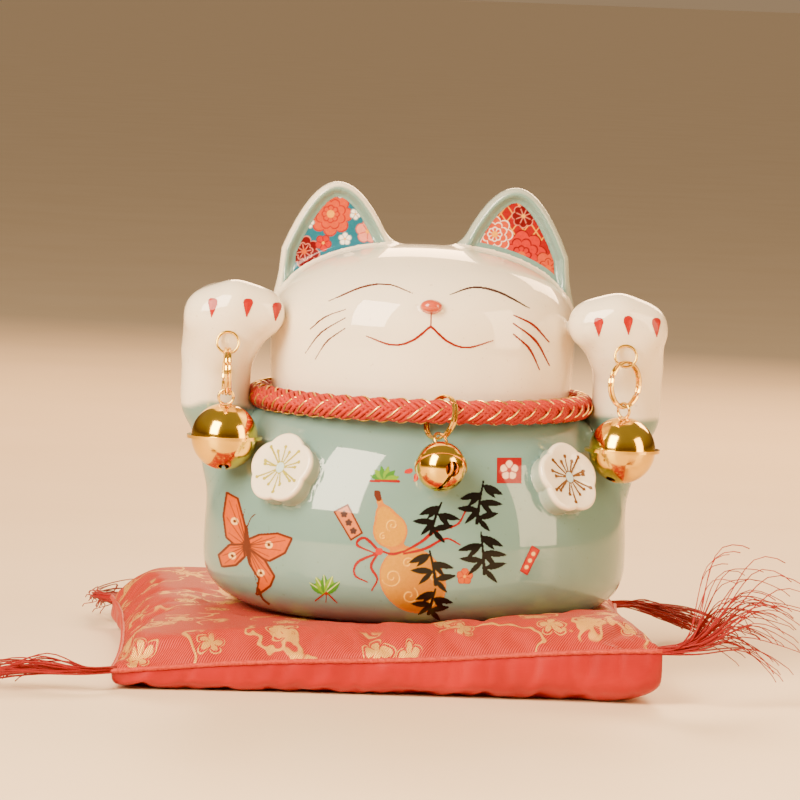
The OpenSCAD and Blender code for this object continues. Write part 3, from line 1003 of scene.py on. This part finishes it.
def satin_material():
    """Glossy red satin: long smooth highlights over a very fine weave."""
    mat, tree, shader = new_material("satin")
    tone = ramp(tree, noise(tree, 60, 3), (0.3, (0.28, 0.002, 0.003)), (0.7, (0.38, 0.003, 0.004)))
    where = node(tree, "ShaderNodeTexCoord").outputs["Object"]
    weave = node(tree, "ShaderNodeTexWave", wave_type="BANDS", bands_direction="Z", Vector=where, Scale=900)
    adjust(shader, Base_Color=tone, Roughness=0.36, Specular_IOR_Level=0.3, Anisotropic=0.5,
           Sheen_Weight=0.05, Sheen_Tint=(1.0, 0.3, 0.25, 1), Sheen_Roughness=0.3,
           Normal=bump(tree, weave.outputs["Fac"], 0.00003, 0.35))
    return mat


def seam_line(t):
    """Points on the seam at shares t of the way round, from the front left corner."""
    side = np.floor(t * 4).astype(int) % 4
    f = (t * 4) % 1 * 2 - 1
    one = np.ones_like(f)
    u = np.choose(side, [f, one, -f, -one])
    v = np.choose(side, [-one, f, one, -f])
    x, y = cushion_outline(u, v)
    return np.stack([x + CUSHION_X, y, seam_height(x, y)], 1)


COVER_T = 0.5
PIPING_R = 0.62
TWISTS = 180  # of the piping cord, in its whole length


def make_cushion():
    """Settles both covers as one closed skin, then parts them, and lays the piping on their seam."""
    above, below, quads, border, cut, n = cushion_mesh()
    inner = np.nonzero(~border)[0]
    index = np.arange(n * n)
    lower = index.copy()
    lower[inner] = n * n + np.arange(len(inner))
    verts = np.concatenate([above, below[inner]])
    under = lower[quads][:, ::-1]
    seat = np.hypot(above[:, 0], above[:, 1] / BODY_K) < BODY_A - 2
    held = np.concatenate([border | seat, below[inner, 2] < 0.3]).astype(float)
    before = verts.copy()
    verts = settle_cloth(verts, np.concatenate([quads, under]), held)
    move = verts - before
    size = np.linalg.norm(move, axis=1, keepdims=True)
    verts = before + move * np.minimum(1, WRINKLE / (size + 1e-9))
    foot = foot_height(verts[:, 0] - CUSHION_X, verts[:, 1])
    verts[:, 2] = np.clip(verts[:, 2], 0.02, np.maximum(foot - 0.35, SEAT - 0.05))
    top = cover_mesh("brocade_top", verts[:n * n], quads, cut, COVER_T, brocade_material())
    base_verts = verts[lower]
    base = cover_mesh("satin_base", base_verts, quads[:, ::-1], cut, COVER_T, satin_material())
    place(top, "cushion", slot_of("brocade_cover"), "brocade_cover", "cushion_filling")
    place(base, "cushion", slot_of("satin_cover"), "satin_cover")
    t = np.linspace(0, 1, 720, endpoint=False)
    radius = PIPING_R + 0.06 * np.sin(2 * np.pi * TWISTS * t)
    piping = tubes_object("seam_piping", [tube(seam_line(t), radius, 8, True)],
                          cord_material("piping", (0.30, 0.01, 0.006), (0.55, 0.06, 0.03), 1800))
    place(piping, "cushion", slot_of("brocade_cover"))


make_cushion()


WINDINGS = 4.5  # of the thread round a tassel's knot
KNOT_R = 1.45
THREAD_R = 0.2
THREAD_TIP = 0.13


def tassel(name, ends, count):
    """A corner knot and its loose threads, each with an end at random among a few points."""
    pivot = joint_point(f"{name}_swing")
    pivot[2] = seam_height(pivot[0] - CUSHION_X, pivot[1])
    ends = np.array(ends, float) + [CUSHION_X, 0, 0]
    out = unit(np.array([pivot[0] - CUSHION_X, pivot[1], 0]))
    up = np.array([0, 0, 1])
    side = np.cross(out, up)
    along = np.linspace(-1, 1, 120)[:, None]
    turn = np.linspace(0, 2 * np.pi * WINDINGS, 120)[:, None]
    thick = KNOT_R - 0.7 * along**2
    wound = pivot + out * (along * 1.1) + np.cos(turn) * thick * side + np.sin(turn) * thick * up
    parts = [tube(wound, 0.32, 6), tube(np.stack([pivot - out * 2.2, pivot + out * 2.6]), 0.75, 8)]
    for _ in range(count):
        weights = rng.dirichlet(np.full(len(ends), 0.3))
        end = weights @ ends + rng.normal(0, 1.6, 3)
        reach = 0.55 + 0.5 * rng.random() ** 0.7
        end = pivot + (end - pivot) * reach
        end[2] = max(end[2], 0.35 + 0.5 * rng.random())
        start = pivot + out * 1.6 + rng.normal(0, 0.35, 3)
        span = np.linalg.norm(end - start)
        bend = rng.normal(0, 0.06, 3) * span
        bend[2] = abs(bend[2]) * 0.8 + (0.12 * span if ends[:, 2].max() > 20 else 0.0)
        mid1 = start + out * 0.3 * span * 0.8 + (end - start) * 0.12 + 0.3 * bend
        mid2 = start + 0.68 * (end - start) + bend
        curl = end + unit(end - mid2) * 0.5 + np.array([0, 0, -0.02 * span])
        path = smooth_path([start, mid1, mid2, end, curl], 16)
        path[:, 2] = np.maximum(path[:, 2], THREAD_R)
        parts.append(tube(path, np.linspace(THREAD_R, THREAD_TIP, 16), 4))
    ob = tubes_object(name + "_threads", parts, thread_red)
    place(ob, name, slot_of(name), name)


# Where each tassel's threads run to, from the middle of the cushion
TASSELS = {
    "tassel_front_left": [(-102, -61, 1.8), (-104, -72, 2.6), (-100, -78, 6)],
    "tassel_front_right": [(96, -62, 8), (104, -66, 27), (84, -70, 44), (103, -64, 18)],
    "tassel_back_left": [(-74, 96, 4), (-66, 100, 1.8), (-54, 97, 2.4)],
    "tassel_back_right": [(101, 66, 1.8), (98, 80, 2.4), (88, 88, 5)],
}
THREADS = 60
for part_name, ends in TASSELS.items():
    tassel(part_name, ends, THREADS)

# ---- Painted decals ----

GRAIN = 0.15  # spacing of the points that a decal is painted on
DARK = (0.06, 0.025, 0.02)
BROWN = (0.10, 0.018, 0.006)
LIP = (0.24, 0.014, 0.006)
RED = (0.27, 0.003, 0.003)
BRIGHT = (0.45, 0.012, 0.005)
AMBER = (0.72, 0.30, 0.008)
AMBER_DARK = (0.50, 0.16, 0.01)
LEAF = (0.15, 0.31, 0.006)
PINE = (0.05, 0.19, 0.015)
ORANGE = (0.52, 0.082, 0.004)
PALE = (0.90, 0.83, 0.72)
PINK = (0.70, 0.22, 0.16)
TEAL = (0.012, 0.12, 0.18)
MAROON = (0.12, 0.003, 0.005)


def disc(centre, r, squash=1.0, turn=0.0):
    c, s = math.cos(math.radians(turn)), math.sin(math.radians(turn))

    def f(Q):
        d = Q - np.array(centre)
        x, y = d[:, 0] * c + d[:, 1] * s, (d[:, 1] * c - d[:, 0] * s) / squash
        return (np.hypot(x, y) - r) * min(1, squash)
    return f


def line(points, *widths, bend=True):
    """A brush stroke through points, whose width runs through the given values."""
    path = np.array(points, float)
    if bend and len(path) > 2:
        path = smooth_path(np.c_[path, np.zeros(len(path))], 24)[:, :2]
    share = np.linspace(0, 1, len(path))
    half = np.interp(share, np.linspace(0, 1, len(widths)), widths) / 2

    def f(Q):
        best = np.full(len(Q), 1e9)
        for a, b, ra, rb in zip(path, path[1:], half, half[1:]):
            d = b - a
            t = np.clip((Q - a) @ d / (d @ d + 1e-9), 0, 1)
            best = np.minimum(best, np.linalg.norm(Q - a - t[:, None] * d, axis=1) - (ra + t * (rb - ra)))
        return best
    return f


def straight(points, *widths):
    return line(points, *widths, bend=False)


def flower(centre, r, n=5, deep=0.2, turn=0.0, round_=1.0):
    def f(Q):
        d = Q - np.array(centre)
        a = np.arctan2(d[:, 0], d[:, 1]) - math.radians(turn)
        lobe = np.abs(np.cos(n * a / 2)) ** round_
        return np.hypot(d[:, 0], d[:, 1]) - r * (1 - deep + deep * lobe)
    return f


def patch(points):
    return lambda Q: polygon_distance(Q, points)


def grown(f, width):
    return lambda Q: f(Q) - width


def everywhere(Q):
    return np.full(len(Q), -1.0)


def band(f, width):
    """The outline of a shape."""
    return lambda Q: np.abs(f(Q) + width / 2) - width / 2


def merge(f, g, k=0.6):
    return lambda Q: smooth_min(f(Q), g(Q), k)


def leaf(a, b, width):
    """A pointed leaf from a to b."""
    a, b = np.array(a), np.array(b)
    return straight([a + (b - a) * t for t in np.linspace(0, 1, 7)],
                    0.05, width * 0.7, width, width * 0.9, width * 0.55, 0.05)


def spokes(centre, r0, r1, n, width, colour, turn=0.0, tip=0.0):
    out = []
    for i in range(n):
        a = math.radians(turn) + 2 * math.pi * i / n
        d = np.array([math.sin(a), math.cos(a)])
        c = np.array(centre)
        out.append((straight([c + d * r0, c + d * r1], width, width), colour))
        if tip:
            out.append((disc(c + d * r1, tip), colour))
    return out


def bloom(centre, r, petal, edge, heart, n=5, deep=0.2, turn=0.0, rings=1):
    """A layered flower seen from the front."""
    out = []
    for k in range(rings):
        size = r * (1 - k / (rings + 0.4))
        shape = flower(centre, size, n, deep, turn + k * 180 / n, 0.7)
        out += [(shape, petal), (band(shape, max(0.16, 0.05 * r)), edge)]
    out += spokes(centre, 0.2 * r, 0.62 * r / rings ** 0.5, n, 0.16, edge, turn + 180 / n)
    out.append((disc(centre, 0.17 * r), heart))
    return out


START = 60  # how far in front of its plane a decal starts towards the glaze
REACH = 68  # and how far it may travel
MARCHES = 60
PROUD = 0.07  # how far a decal's outer face stands out of the glaze
SUNK = 0.12  # and its inner face lies under it


def decal(name, node_name, strokes, low, high, place_at=None, keep=None, grain=GRAIN):
    """Paints strokes on a plane and lays them on the glaze as one thin skin.

    place_at gives the plane's origin, its two axes and the way in; at first it is the plane of X and Z.
    """
    origin, across, up, inward = place_at or (np.zeros(3), np.array([1.0, 0, 0]), np.array([0, 0, 1.0]),
                                              np.array([0, 1.0, 0]))
    xs, zs = np.arange(low[0], high[0], grain), np.arange(low[1], high[1], grain)
    Q = np.stack(np.meshgrid(xs, zs, indexing="ij"), -1).reshape(-1, 2)
    cover, colour = np.full(len(Q), 1e9), np.zeros((len(Q), 3))
    for shape, paint in strokes:
        d = shape(Q)
        blend = np.clip(0.5 - d / (1.2 * grain), 0, 1)
        paint = paint(Q) if callable(paint) else np.array(paint)
        fresh = cover > 0.8 * grain
        blend = np.where(fresh & (d < grain), 1.0, blend)[:, None]
        colour = colour * (1 - blend) + paint * blend
        cover = np.minimum(cover, d)
    painted = cover.reshape(len(xs), len(zs)) < 0
    n = len(zs)
    cell = painted[:-1, :-1] & painted[1:, :-1] & painted[1:, 1:] & painted[:-1, 1:]
    cell |= (painted[:-1, :-1].astype(int) + painted[1:, :-1] + painted[1:, 1:] + painted[:-1, 1:]) >= 3
    used, quads = np.unique(grid_quads(*np.nonzero(cell), n), return_inverse=True)
    quads = quads.reshape(-1, 4)
    P = origin + Q[used] @ np.stack([across, up]) - inward * START
    travelled = np.zeros(len(P))
    for _ in range(MARCHES):
        travelled += 0.92 * cat_field(P + travelled[:, None] * inward)
    hit = P + travelled[:, None] * inward
    good = (np.abs(cat_field(hit)) < 0.05) & (travelled < REACH)
    if keep:
        good &= keep(hit)
    quads = quads[good[quads].all(1)]
    kept, quads = np.unique(quads, return_inverse=True)
    quads = quads.reshape(-1, 4)
    hit, colour = hit[kept], colour[used][kept]
    normal = unit(gradient(cat_field, hit))
    if np.cross(across, up) @ inward > 0:
        quads = quads[:, ::-1]
    m = len(hit)
    ends = np.stack([quads, np.roll(quads, -1, 1)], -1).reshape(-1, 2)
    key = np.sort(ends, 1) @ np.array([m, 1])
    _, first, count = np.unique(key, return_index=True, return_counts=True)
    rim = ends[first[count == 1]]
    sides = np.stack([rim[:, 1], rim[:, 0], rim[:, 0] + m, rim[:, 1] + m], 1)
    verts = np.concatenate([hit + PROUD * normal, hit - SUNK * normal])
    faces = np.concatenate([quads, quads[:, ::-1] + m, sides])
    ob = make_mesh(name, verts, faces, np.concatenate([normal, normal]), np.concatenate([colour, colour]), enamel)
    return place(ob, "cat", slot_of(node_name))


def front(P):
    """Keeps paint off the back of the cat, which its plane also meets."""
    return P[:, 1] < -2


# Face
WHISKERS = [
    [(20.5, 90.7), (25.6, 88.3), (30, 84.0)], [(20.5, 88.7), (26.4, 84.4), (30.5, 78)],
    [(20.6, 86.1), (24.9, 82.4), (27.8, 77.2)],
]
face = []
for side in (-1, 1):
    ink = BROWN if side < 0 else DARK
    wide = 0.42 if side < 0 else 0.52
    eye = [(side * 4.3, 95.2), (side * 10.5, 97.1), (side * 17, 96), (side * 25.2, 92)]
    mouth = [(0, 87.6), (side * 4.5, 83.9), (side * 9.3, 82.7), (side * 15.5, 84.5)]
    face += [(line(eye, 0.2, wide, wide + 0.1, wide, 0.15), ink), (line(mouth, 0.55, 0.62, 0.6, 0.25), LIP)]
    for whisker in WHISKERS:
        hair = [(side * x, z) for x, z in whisker]
        face.append((line(hair, *((0.2, 0.34, 0.12) if side < 0 else (0.35, 0.6, 0.3))), BROWN if side < 0 else LIP))
face.append((straight([(0, 91), (0, 87.6)], 0.3, 0.42), LIP))
decal("face_lines", "head_shell", face, (-33, 75), (33, 99), keep=front)

# Claws
CLAWS = {"left": ((37.2, 89.0), (44.4, 89.9), (53.0, 89.6)), "right": ((42.0, 88.2), (49.2, 88.9), (56.4, 88.5))}
for name, side in SIDES.items():
    strokes = []
    for x, z in CLAWS[name]:
        strokes += [
            (straight([(side * x, z + 1.1), (side * (x + 0.25), z - 2.3)], 2.5, 1.9, 0.3), CLAW),
            (straight([(side * (x + 0.45), z + 1.0), (side * (x + 0.4), z - 0.8)], 0.7, 0.2), BRIGHT),
        ]
    near, far = sorted((side * 34, side * 60))
    decal(f"{name}_claws", f"{name}_arm", strokes, (near, 84), (far, 94), keep=front)

# Chest: gourd with its ribbon, sprigs, tags, seal and butterfly
chest = []
neck = merge(disc((-8.5, 38.2), 4.2), merge(disc((-10.2, 42.6), 1.7), disc((-11.3, 45.2), 0.8), 1.5), 3.0)
bulbs = merge(merge(disc((-3.6, 27.4), 7.2), disc((-1.0, 24.6), 6.6), 3), neck, 2.2)


def gourd_paint(Q):
    shade = smooth_step(-5, 6, (Q[:, 0] + 3) * 0.7 - (Q[:, 1] - 30) * 0.4)[:, None]
    return np.array([0.52, 0.24, 0.004]) * (1 - shade) + np.array([0.38, 0.13, 0.002]) * shade


def scroll(centre, r, turns, start):
    """A line that winds in to its centre."""
    t = np.linspace(0, 1, 22)
    a = math.radians(start) + 2 * math.pi * turns * t
    return [(centre[0] + r * (1 - 0.85 * k) * math.cos(b), centre[1] + r * (1 - 0.85 * k) * math.sin(b))
            for k, b in zip(t, a)]


chest.append((bulbs, gourd_paint))
chest.append((band(bulbs, 0.45), AMBER_DARK))
SCROLLS = [
    (-7.6, 27.0, 2.5, 1.4, 200), (-3.2, 22.6, 2.2, -1.3, 60), (-4.0, 30.6, 1.4, 1.2, 20), (2.4, 27.6, 1.5, -1.2, 120),
    (1.6, 21.4, 1.6, 1.2, 300), (-8.0, 39.6, 1.6, -1.3, 250), (-10.2, 36.8, 0.9, 1.1, 80),
]
for x, z, r, turns, start in SCROLLS:
    chest += [
        (straight(scroll((x, z), r, turns, start), 0.2, 0.34, 0.26), (0.80, 0.46, 0.04)),
        (straight(scroll((x + 0.22, z - 0.2), r, turns, start), 0.1, 0.2), AMBER_DARK),
    ]
chest.append((straight([(-11.5, 45.9), (-11.9, 47.0)], 1.5, 1.7), BROWN))
ribbon = [
    [(-5, 33.4), (-8, 32.6), (-11.3, 33.6)], [(-11, 33.2), (-14.6, 36.2), (-16.4, 34.4), (-12, 32.6)],
    [(-11, 32.8), (-16, 30.2), (-16.6, 27), (-13.4, 25.4)], [(-11, 33), (-12.8, 29.4), (-11.2, 26.4), (-12.4, 23.4)],
    [(-5.2, 33.2), (-1, 35.8), (2.4, 38.6), (7.6, 40.2), (9.6, 43.4)], [(-5, 32.8), (0, 34.2), (5, 36.8), (8.6, 35.4)],
]
for path in ribbon:
    chest.append((line(path, 0.5, 0.75, 0.6, 0.35), RED))
chest.append((disc((-11, 33.1), 0.95), BRIGHT))
for k, angle in enumerate((-62, -35, -8, 20, 48)):
    a = math.radians(angle)
    tip = (-23.4 + 4.6 * math.sin(a), 22.2 + 4.6 * math.cos(a))
    chest += [(leaf((-23.4, 21.6), tip, 2.0), LEAF if k % 2 else PINE),
              (straight([(-23.4, 22), tip], 0.2, 0.12), (0.75, 0.72, 0.35))]
for dx in (-1.3, 0, 1.4):
    chest.append((straight([(-23.2, 22.2), (-23.2 + 2 * dx, 19.6)], 0.35, 0.3), RED))
for k, angle in enumerate((-75, -45, -15, 15, 45, 75)):
    a = math.radians(angle)
    tip = (-10.2 + 3.7 * math.sin(a), 50.4 + 3.3 * math.cos(a))
    chest.append((leaf((-10.2, 50.2), tip, 1.5), LEAF if k % 2 else PINE))
chest.append((straight([(-13.6, 49.9), (-6.8, 50.1)], 0.6, 0.7), RED))
tag = patch([(-22.4, 42.1), (-18.8, 44.2), (-14.9, 37.3), (-17.9, 35.2)])
chest += [(tag, (0.55, 0.16, 0.05)), (band(tag, 0.45), BROWN)]
for t in (0.22, 0.5, 0.78):
    chest.append((flower((-20.6 + 4.2 * t, 43.1 - 6.9 * t), 0.9, 5, 0.3), DARK))
small_tag = patch([(26.4, 35.4), (28.6, 34.1), (25.6, 27.9), (23.6, 29.1)])
chest += [(small_tag, BRIGHT), (band(small_tag, 0.3), RED)]
for z in (30.0, 31.6, 33.2):
    chest.append((disc((26.1 + 0.5 * (z - 31.6), z), 0.5), (0.95, 0.60, 0.2)))
seal = patch([(17.1, 50.2), (23.4, 50.1), (23.5, 56.3), (17.2, 56.4)])
chest += [(seal, RED), (flower((20.3, 53.3), 2.3, 5, 0.3), (0.85, 0.55, 0.38)), (disc((20.3, 53.3), 0.6), RED)]
chest += spokes((20.3, 53.3), 0.5, 2.4, 5, 0.28, RED, 36)
chest += bloom((10, 27.7), 2.1, ORANGE, RED, AMBER, 5, 0.25)
for x, z, turn in ((-4.4, 52.6, 20), (-2.6, 51.2, 70)):
    chest.append((disc((x, z), 1.1, 0.55, turn), BRIGHT))


def sprig(x, z, width, height, leaves, lean):
    """A brushed bamboo sprig: a stem and pointed leaves."""
    out = []
    foot, head = np.array([x - lean, z - height / 2]), np.array([x + lean, z + height / 2])
    out.append((line([foot, (x - 0.2 * lean, z), head], 0.95, 0.7, 0.5), INK))
    for k in range(leaves):
        t = (k + 0.6) / leaves
        at = foot + (head - foot) * t
        side = -1 if k % 2 else 1
        size = width * (0.52 - 0.12 * abs(t - 0.5))
        drop = 0.35 - 0.9 * t
        out.append((leaf(at, (at[0] + side * size, at[1] + size * drop), 1.75), INK))
        out.append((leaf(at, (at[0] + side * size * 0.62, at[1] - size * 0.62), 1.35), INK))
    return out


SPRIGS = [
    (13.2, 45.7, 11, 10, 5, 0.7), (14.2, 33.5, 12, 10, 5, -0.6), (2.5, 41.6, 11, 7.6, 4, 1.2),
    (2.1, 29.7, 11, 8.2, 4, -0.9), (2.4, 21.2, 10, 6.4, 4, 0.6),
]
for place_and_size in SPRIGS:
    chest += sprig(*place_and_size)
decal("chest_paint", "body_shell", chest, (-30, 15), (30, 60), keep=front)

wing = []
WINGS = [
    [(-42.6, 33.6), (-44.0, 38.5), (-45.3, 42.6), (-47.6, 43.4), (-48.2, 38.0), (-47.4, 33.0), (-44.6, 31.0)],
    [(-42.0, 33.2), (-39.6, 34.6), (-35.4, 35.4), (-32.2, 34.6), (-33.6, 31.2), (-37.2, 28.8), (-41.4, 30.2)],
    [(-43.6, 31.6), (-46.6, 31.0), (-49.0, 28.0), (-48.2, 25.6), (-45.2, 26.6), (-43.2, 29.0)],
    [(-41.6, 30.6), (-38.4, 28.6), (-36.0, 25.0), (-36.8, 22.6), (-39.6, 19.8), (-39.2, 24.0), (-41.6, 27.4)],
]
for points in WINGS:
    soft = grown(patch(points), 0.5)
    centre = np.mean(points, 0)
    wing += [(soft, ORANGE), (band(soft, 0.55), BROWN)]
    wing += [(disc(centre, 0.9), (0.92, 0.55, 0.2)), (disc(centre, 0.4), BROWN)]
    for corner in points[1:-1]:
        wing.append((straight([(-42.6, 31.6), centre + 0.75 * (np.array(corner) - centre)], 0.25, 0.14), BROWN))
wing += [
    (line([(-42.9, 36.2), (-42.5, 31.5), (-41.9, 27.4)], 0.8, 1.5, 0.5), BROWN),
    (line([(-42.8, 36), (-41.8, 38.6), (-40.4, 40)], 0.3, 0.15), BROWN),
    (line([(-43.1, 36), (-43.6, 38.8), (-43.2, 41)], 0.3, 0.15), BROWN),
    (line([(-39.4, 21), (-38.2, 18.6), (-36.6, 17.2)], 0.9, 0.5, 0.6), BROWN),
]
decal("butterfly", "body_shell", wing, (-51, 15), (-30, 46), keep=lambda P: P[:, 1] < 5, grain=0.14)


def mosaic(ground, lattice, blooms):
    """A ground colour with a lattice and flowers on it."""
    strokes = [(everywhere, ground), *lattice]
    for item in blooms:
        strokes += bloom(*item)
    return strokes


EAR_INSET = 3.7  # keeps the paint on the flat floor of the ear's dish


def in_ear(above):
    def keep(P):
        inside = (ear_plane(P) < -EAR_INSET) & (head_field(P) > above)
        return inside & (P[:, 1] < EAR_TIP[1]) & (P[:, 2] > HEAD_Z + 8)
    return keep


TEALS = [
    ((-24.0, 112.6), 5.6, CORAL, RED, AMBER, 8, 0.22, 0, 3),
    ((-30.3, 103.0), 4.0, MAROON, PINK, ORANGE, 8, 0.25, 10, 2),
    ((-14.6, 108.6), 3.1, PINK, RED, AMBER, 5, 0.25, 0, 1),
    ((-25.6, 105.3), 2.1, BRIGHT, MAROON, AMBER, 5, 0.25, 30, 1),
    ((-20.2, 106.5), 1.7, PALE, TEAL, AMBER, 5, 0.3, 0, 1),
    ((-17.8, 112.8), 1.5, PALE, TEAL, AMBER, 5, 0.3, 30, 1),
    ((-29.4, 110.2), 1.5, PALE, TEAL, AMBER, 5, 0.3, 10, 1),
    ((-22.0, 118.0), 1.4, PALE, TEAL, AMBER, 5, 0.3, 20, 1),
    ((-11.6, 105.6), 1.6, PALE, TEAL, AMBER, 5, 0.3, 50, 1),
]
decal("left_ear_paint", "left_ear", mosaic(TEAL, [], TEALS), (-37, 95), (-6, 121), keep=in_ear(0.7))

grid = []
for k in range(-3, 8):
    for x, way in ((10 + 3 * k, 1), (30 - 3 * k, -1)):
        grid.append((straight([(x, 122), (x + 10 * way, 108)], 0.25, 0.25), AMBER))
REDS = [
    ((24.0, 103.8), 6.6, BRIGHT, MAROON, ORANGE, 9, 0.2, 0, 3),
    ((31.0, 101.0), 4.4, CORAL, MAROON, ORANGE, 7, 0.25, 20, 2),
    ((17.2, 109.0), 4.6, CORAL, PALE, AMBER, 8, 0.24, 0, 3),
    ((12.4, 105.0), 2.2, PALE, RED, AMBER, 5, 0.25, 0, 1),
    ((24.2, 113.8), 3.0, MAROON, PINK, AMBER, 8, 0.2, 0, 1),
]
decal("right_ear_paint", "right_ear", mosaic(RED, grid, REDS), (6, 95), (37, 121), keep=in_ear(1.8))

# Stamens in the blossoms
STAMENS = 16
for name, ink, thick in (("left", (0.38, 0.34, 0.03), 0.55), ("right", (0.17, 0.07, 0.02), 0.6)):
    flip = np.array([SIDES[name], 1, 1])
    across, up, out = BLOSSOM_TURN.T * flip
    strokes = []
    for i in range(STAMENS):
        a = 2 * math.pi * (i + 0.3 * math.sin(2.7 * i)) / STAMENS
        far = 5.4 + 1.1 * math.sin(4.1 * i)
        d = np.array([math.sin(a), math.cos(a)])
        strokes += [(straight([1.5 * d, far * d], thick * 0.6, thick), ink), (disc(far * d, thick * 0.85), ink)]
    strokes += [(disc((0, 0), 1.15, 1.2), (0.52, 0.66, 0.66)), (band(disc((0, 0), 1.35, 1.2), 0.2), ink)]
    decal(f"{name}_stamens", f"{name}_blossom", strokes, (-7.5, -7.5), (7.5, 7.5),
          place_at=(BLOSSOM_AT * flip, across, up, -out), keep=lambda P: blossom_field(P) < 0.3)


# ---- Floor, light and camera ----


def area_light(name, location, target, size, power, colour):
    data = bpy.data.lights.new(name, "AREA")
    data.shape = "RECTANGLE"
    data.size, data.size_y = size
    data.energy = power
    data.color = colour
    ob = add_object(name, data)
    ob.location = location
    ob.rotation_mode = "QUATERNION"
    ob.rotation_quaternion = (Vector(target) - ob.location).to_track_quat("-Z", "Y")


def make_camera(azimuth, elevation, roll, distance, target, lens):
    a, e = math.radians(azimuth), math.radians(elevation)
    back = Vector((math.sin(a) * math.cos(e), -math.cos(a) * math.cos(e), math.sin(e)))
    data = bpy.data.cameras.new("camera")
    data.lens, data.sensor_width = lens, 36
    ob = add_object("camera", data)
    ob.location = Vector(target) + back * distance
    ob.rotation_mode = "QUATERNION"
    ob.rotation_quaternion = (-back).to_track_quat("-Z", "Y") @ Quaternion((0, 0, 1), math.radians(roll))
    data.clip_start, data.clip_end = 0.05, 400
    bpy.context.scene.camera = ob


FLOOR_R = 100000  # far enough for a plain horizon


def make_floor():
    mat, tree, shader = new_material("floor")
    tone = ramp(tree, noise(tree, 12, 3), (0.3, (0.87, 0.66, 0.43)), (0.7, (0.91, 0.70, 0.47)))
    adjust(shader, Base_Color=tone, Roughness=0.45)
    r = FLOOR_R
    ob = make_mesh("floor", [(-r, -r, 0), (r, -r, 0), (r, r, 0), (-r, r, 0)], [(0, 1, 2, 3)], material=mat)


def make_light():
    centre = (0, 0, 0.06)
    area_light("window", (-0.62, -0.70, 0.62), centre, (0.5, 0.8), 44, (1.0, 0.81, 0.58))
    area_light("fill", (0.8, -0.45, 0.35), centre, (0.4, 0.7), 11, (1.0, 0.68, 0.38))
    area_light("back", (0.3, 0.9, 0.6), centre, (0.9, 0.4), 20, (1.0, 0.62, 0.32))
    world = bpy.data.worlds.new("world")
    bpy.context.scene.world = world
    world.use_nodes = True
    tree = world.node_tree
    where = node(tree, "ShaderNodeTexCoord").outputs["Generated"]
    height = node(tree, "ShaderNodeSeparateXYZ", Vector=where).outputs["Z"]
    room = ramp(tree, height, (0.0, (0.90, 0.60, 0.34)), (0.12, (0.34, 0.18, 0.08)), (0.30, (0.75, 0.50, 0.28)),
                (0.55, (1.0, 0.80, 0.56)), (1.0, (1.1, 0.90, 0.68)))
    adjust(tree.nodes["Background"], Color=room, Strength=0.38)


make_floor()
make_light()
make_camera(-3.0, 4.2, 2.2, 1.4, (-0.0050, 0, 0.0668), 252)
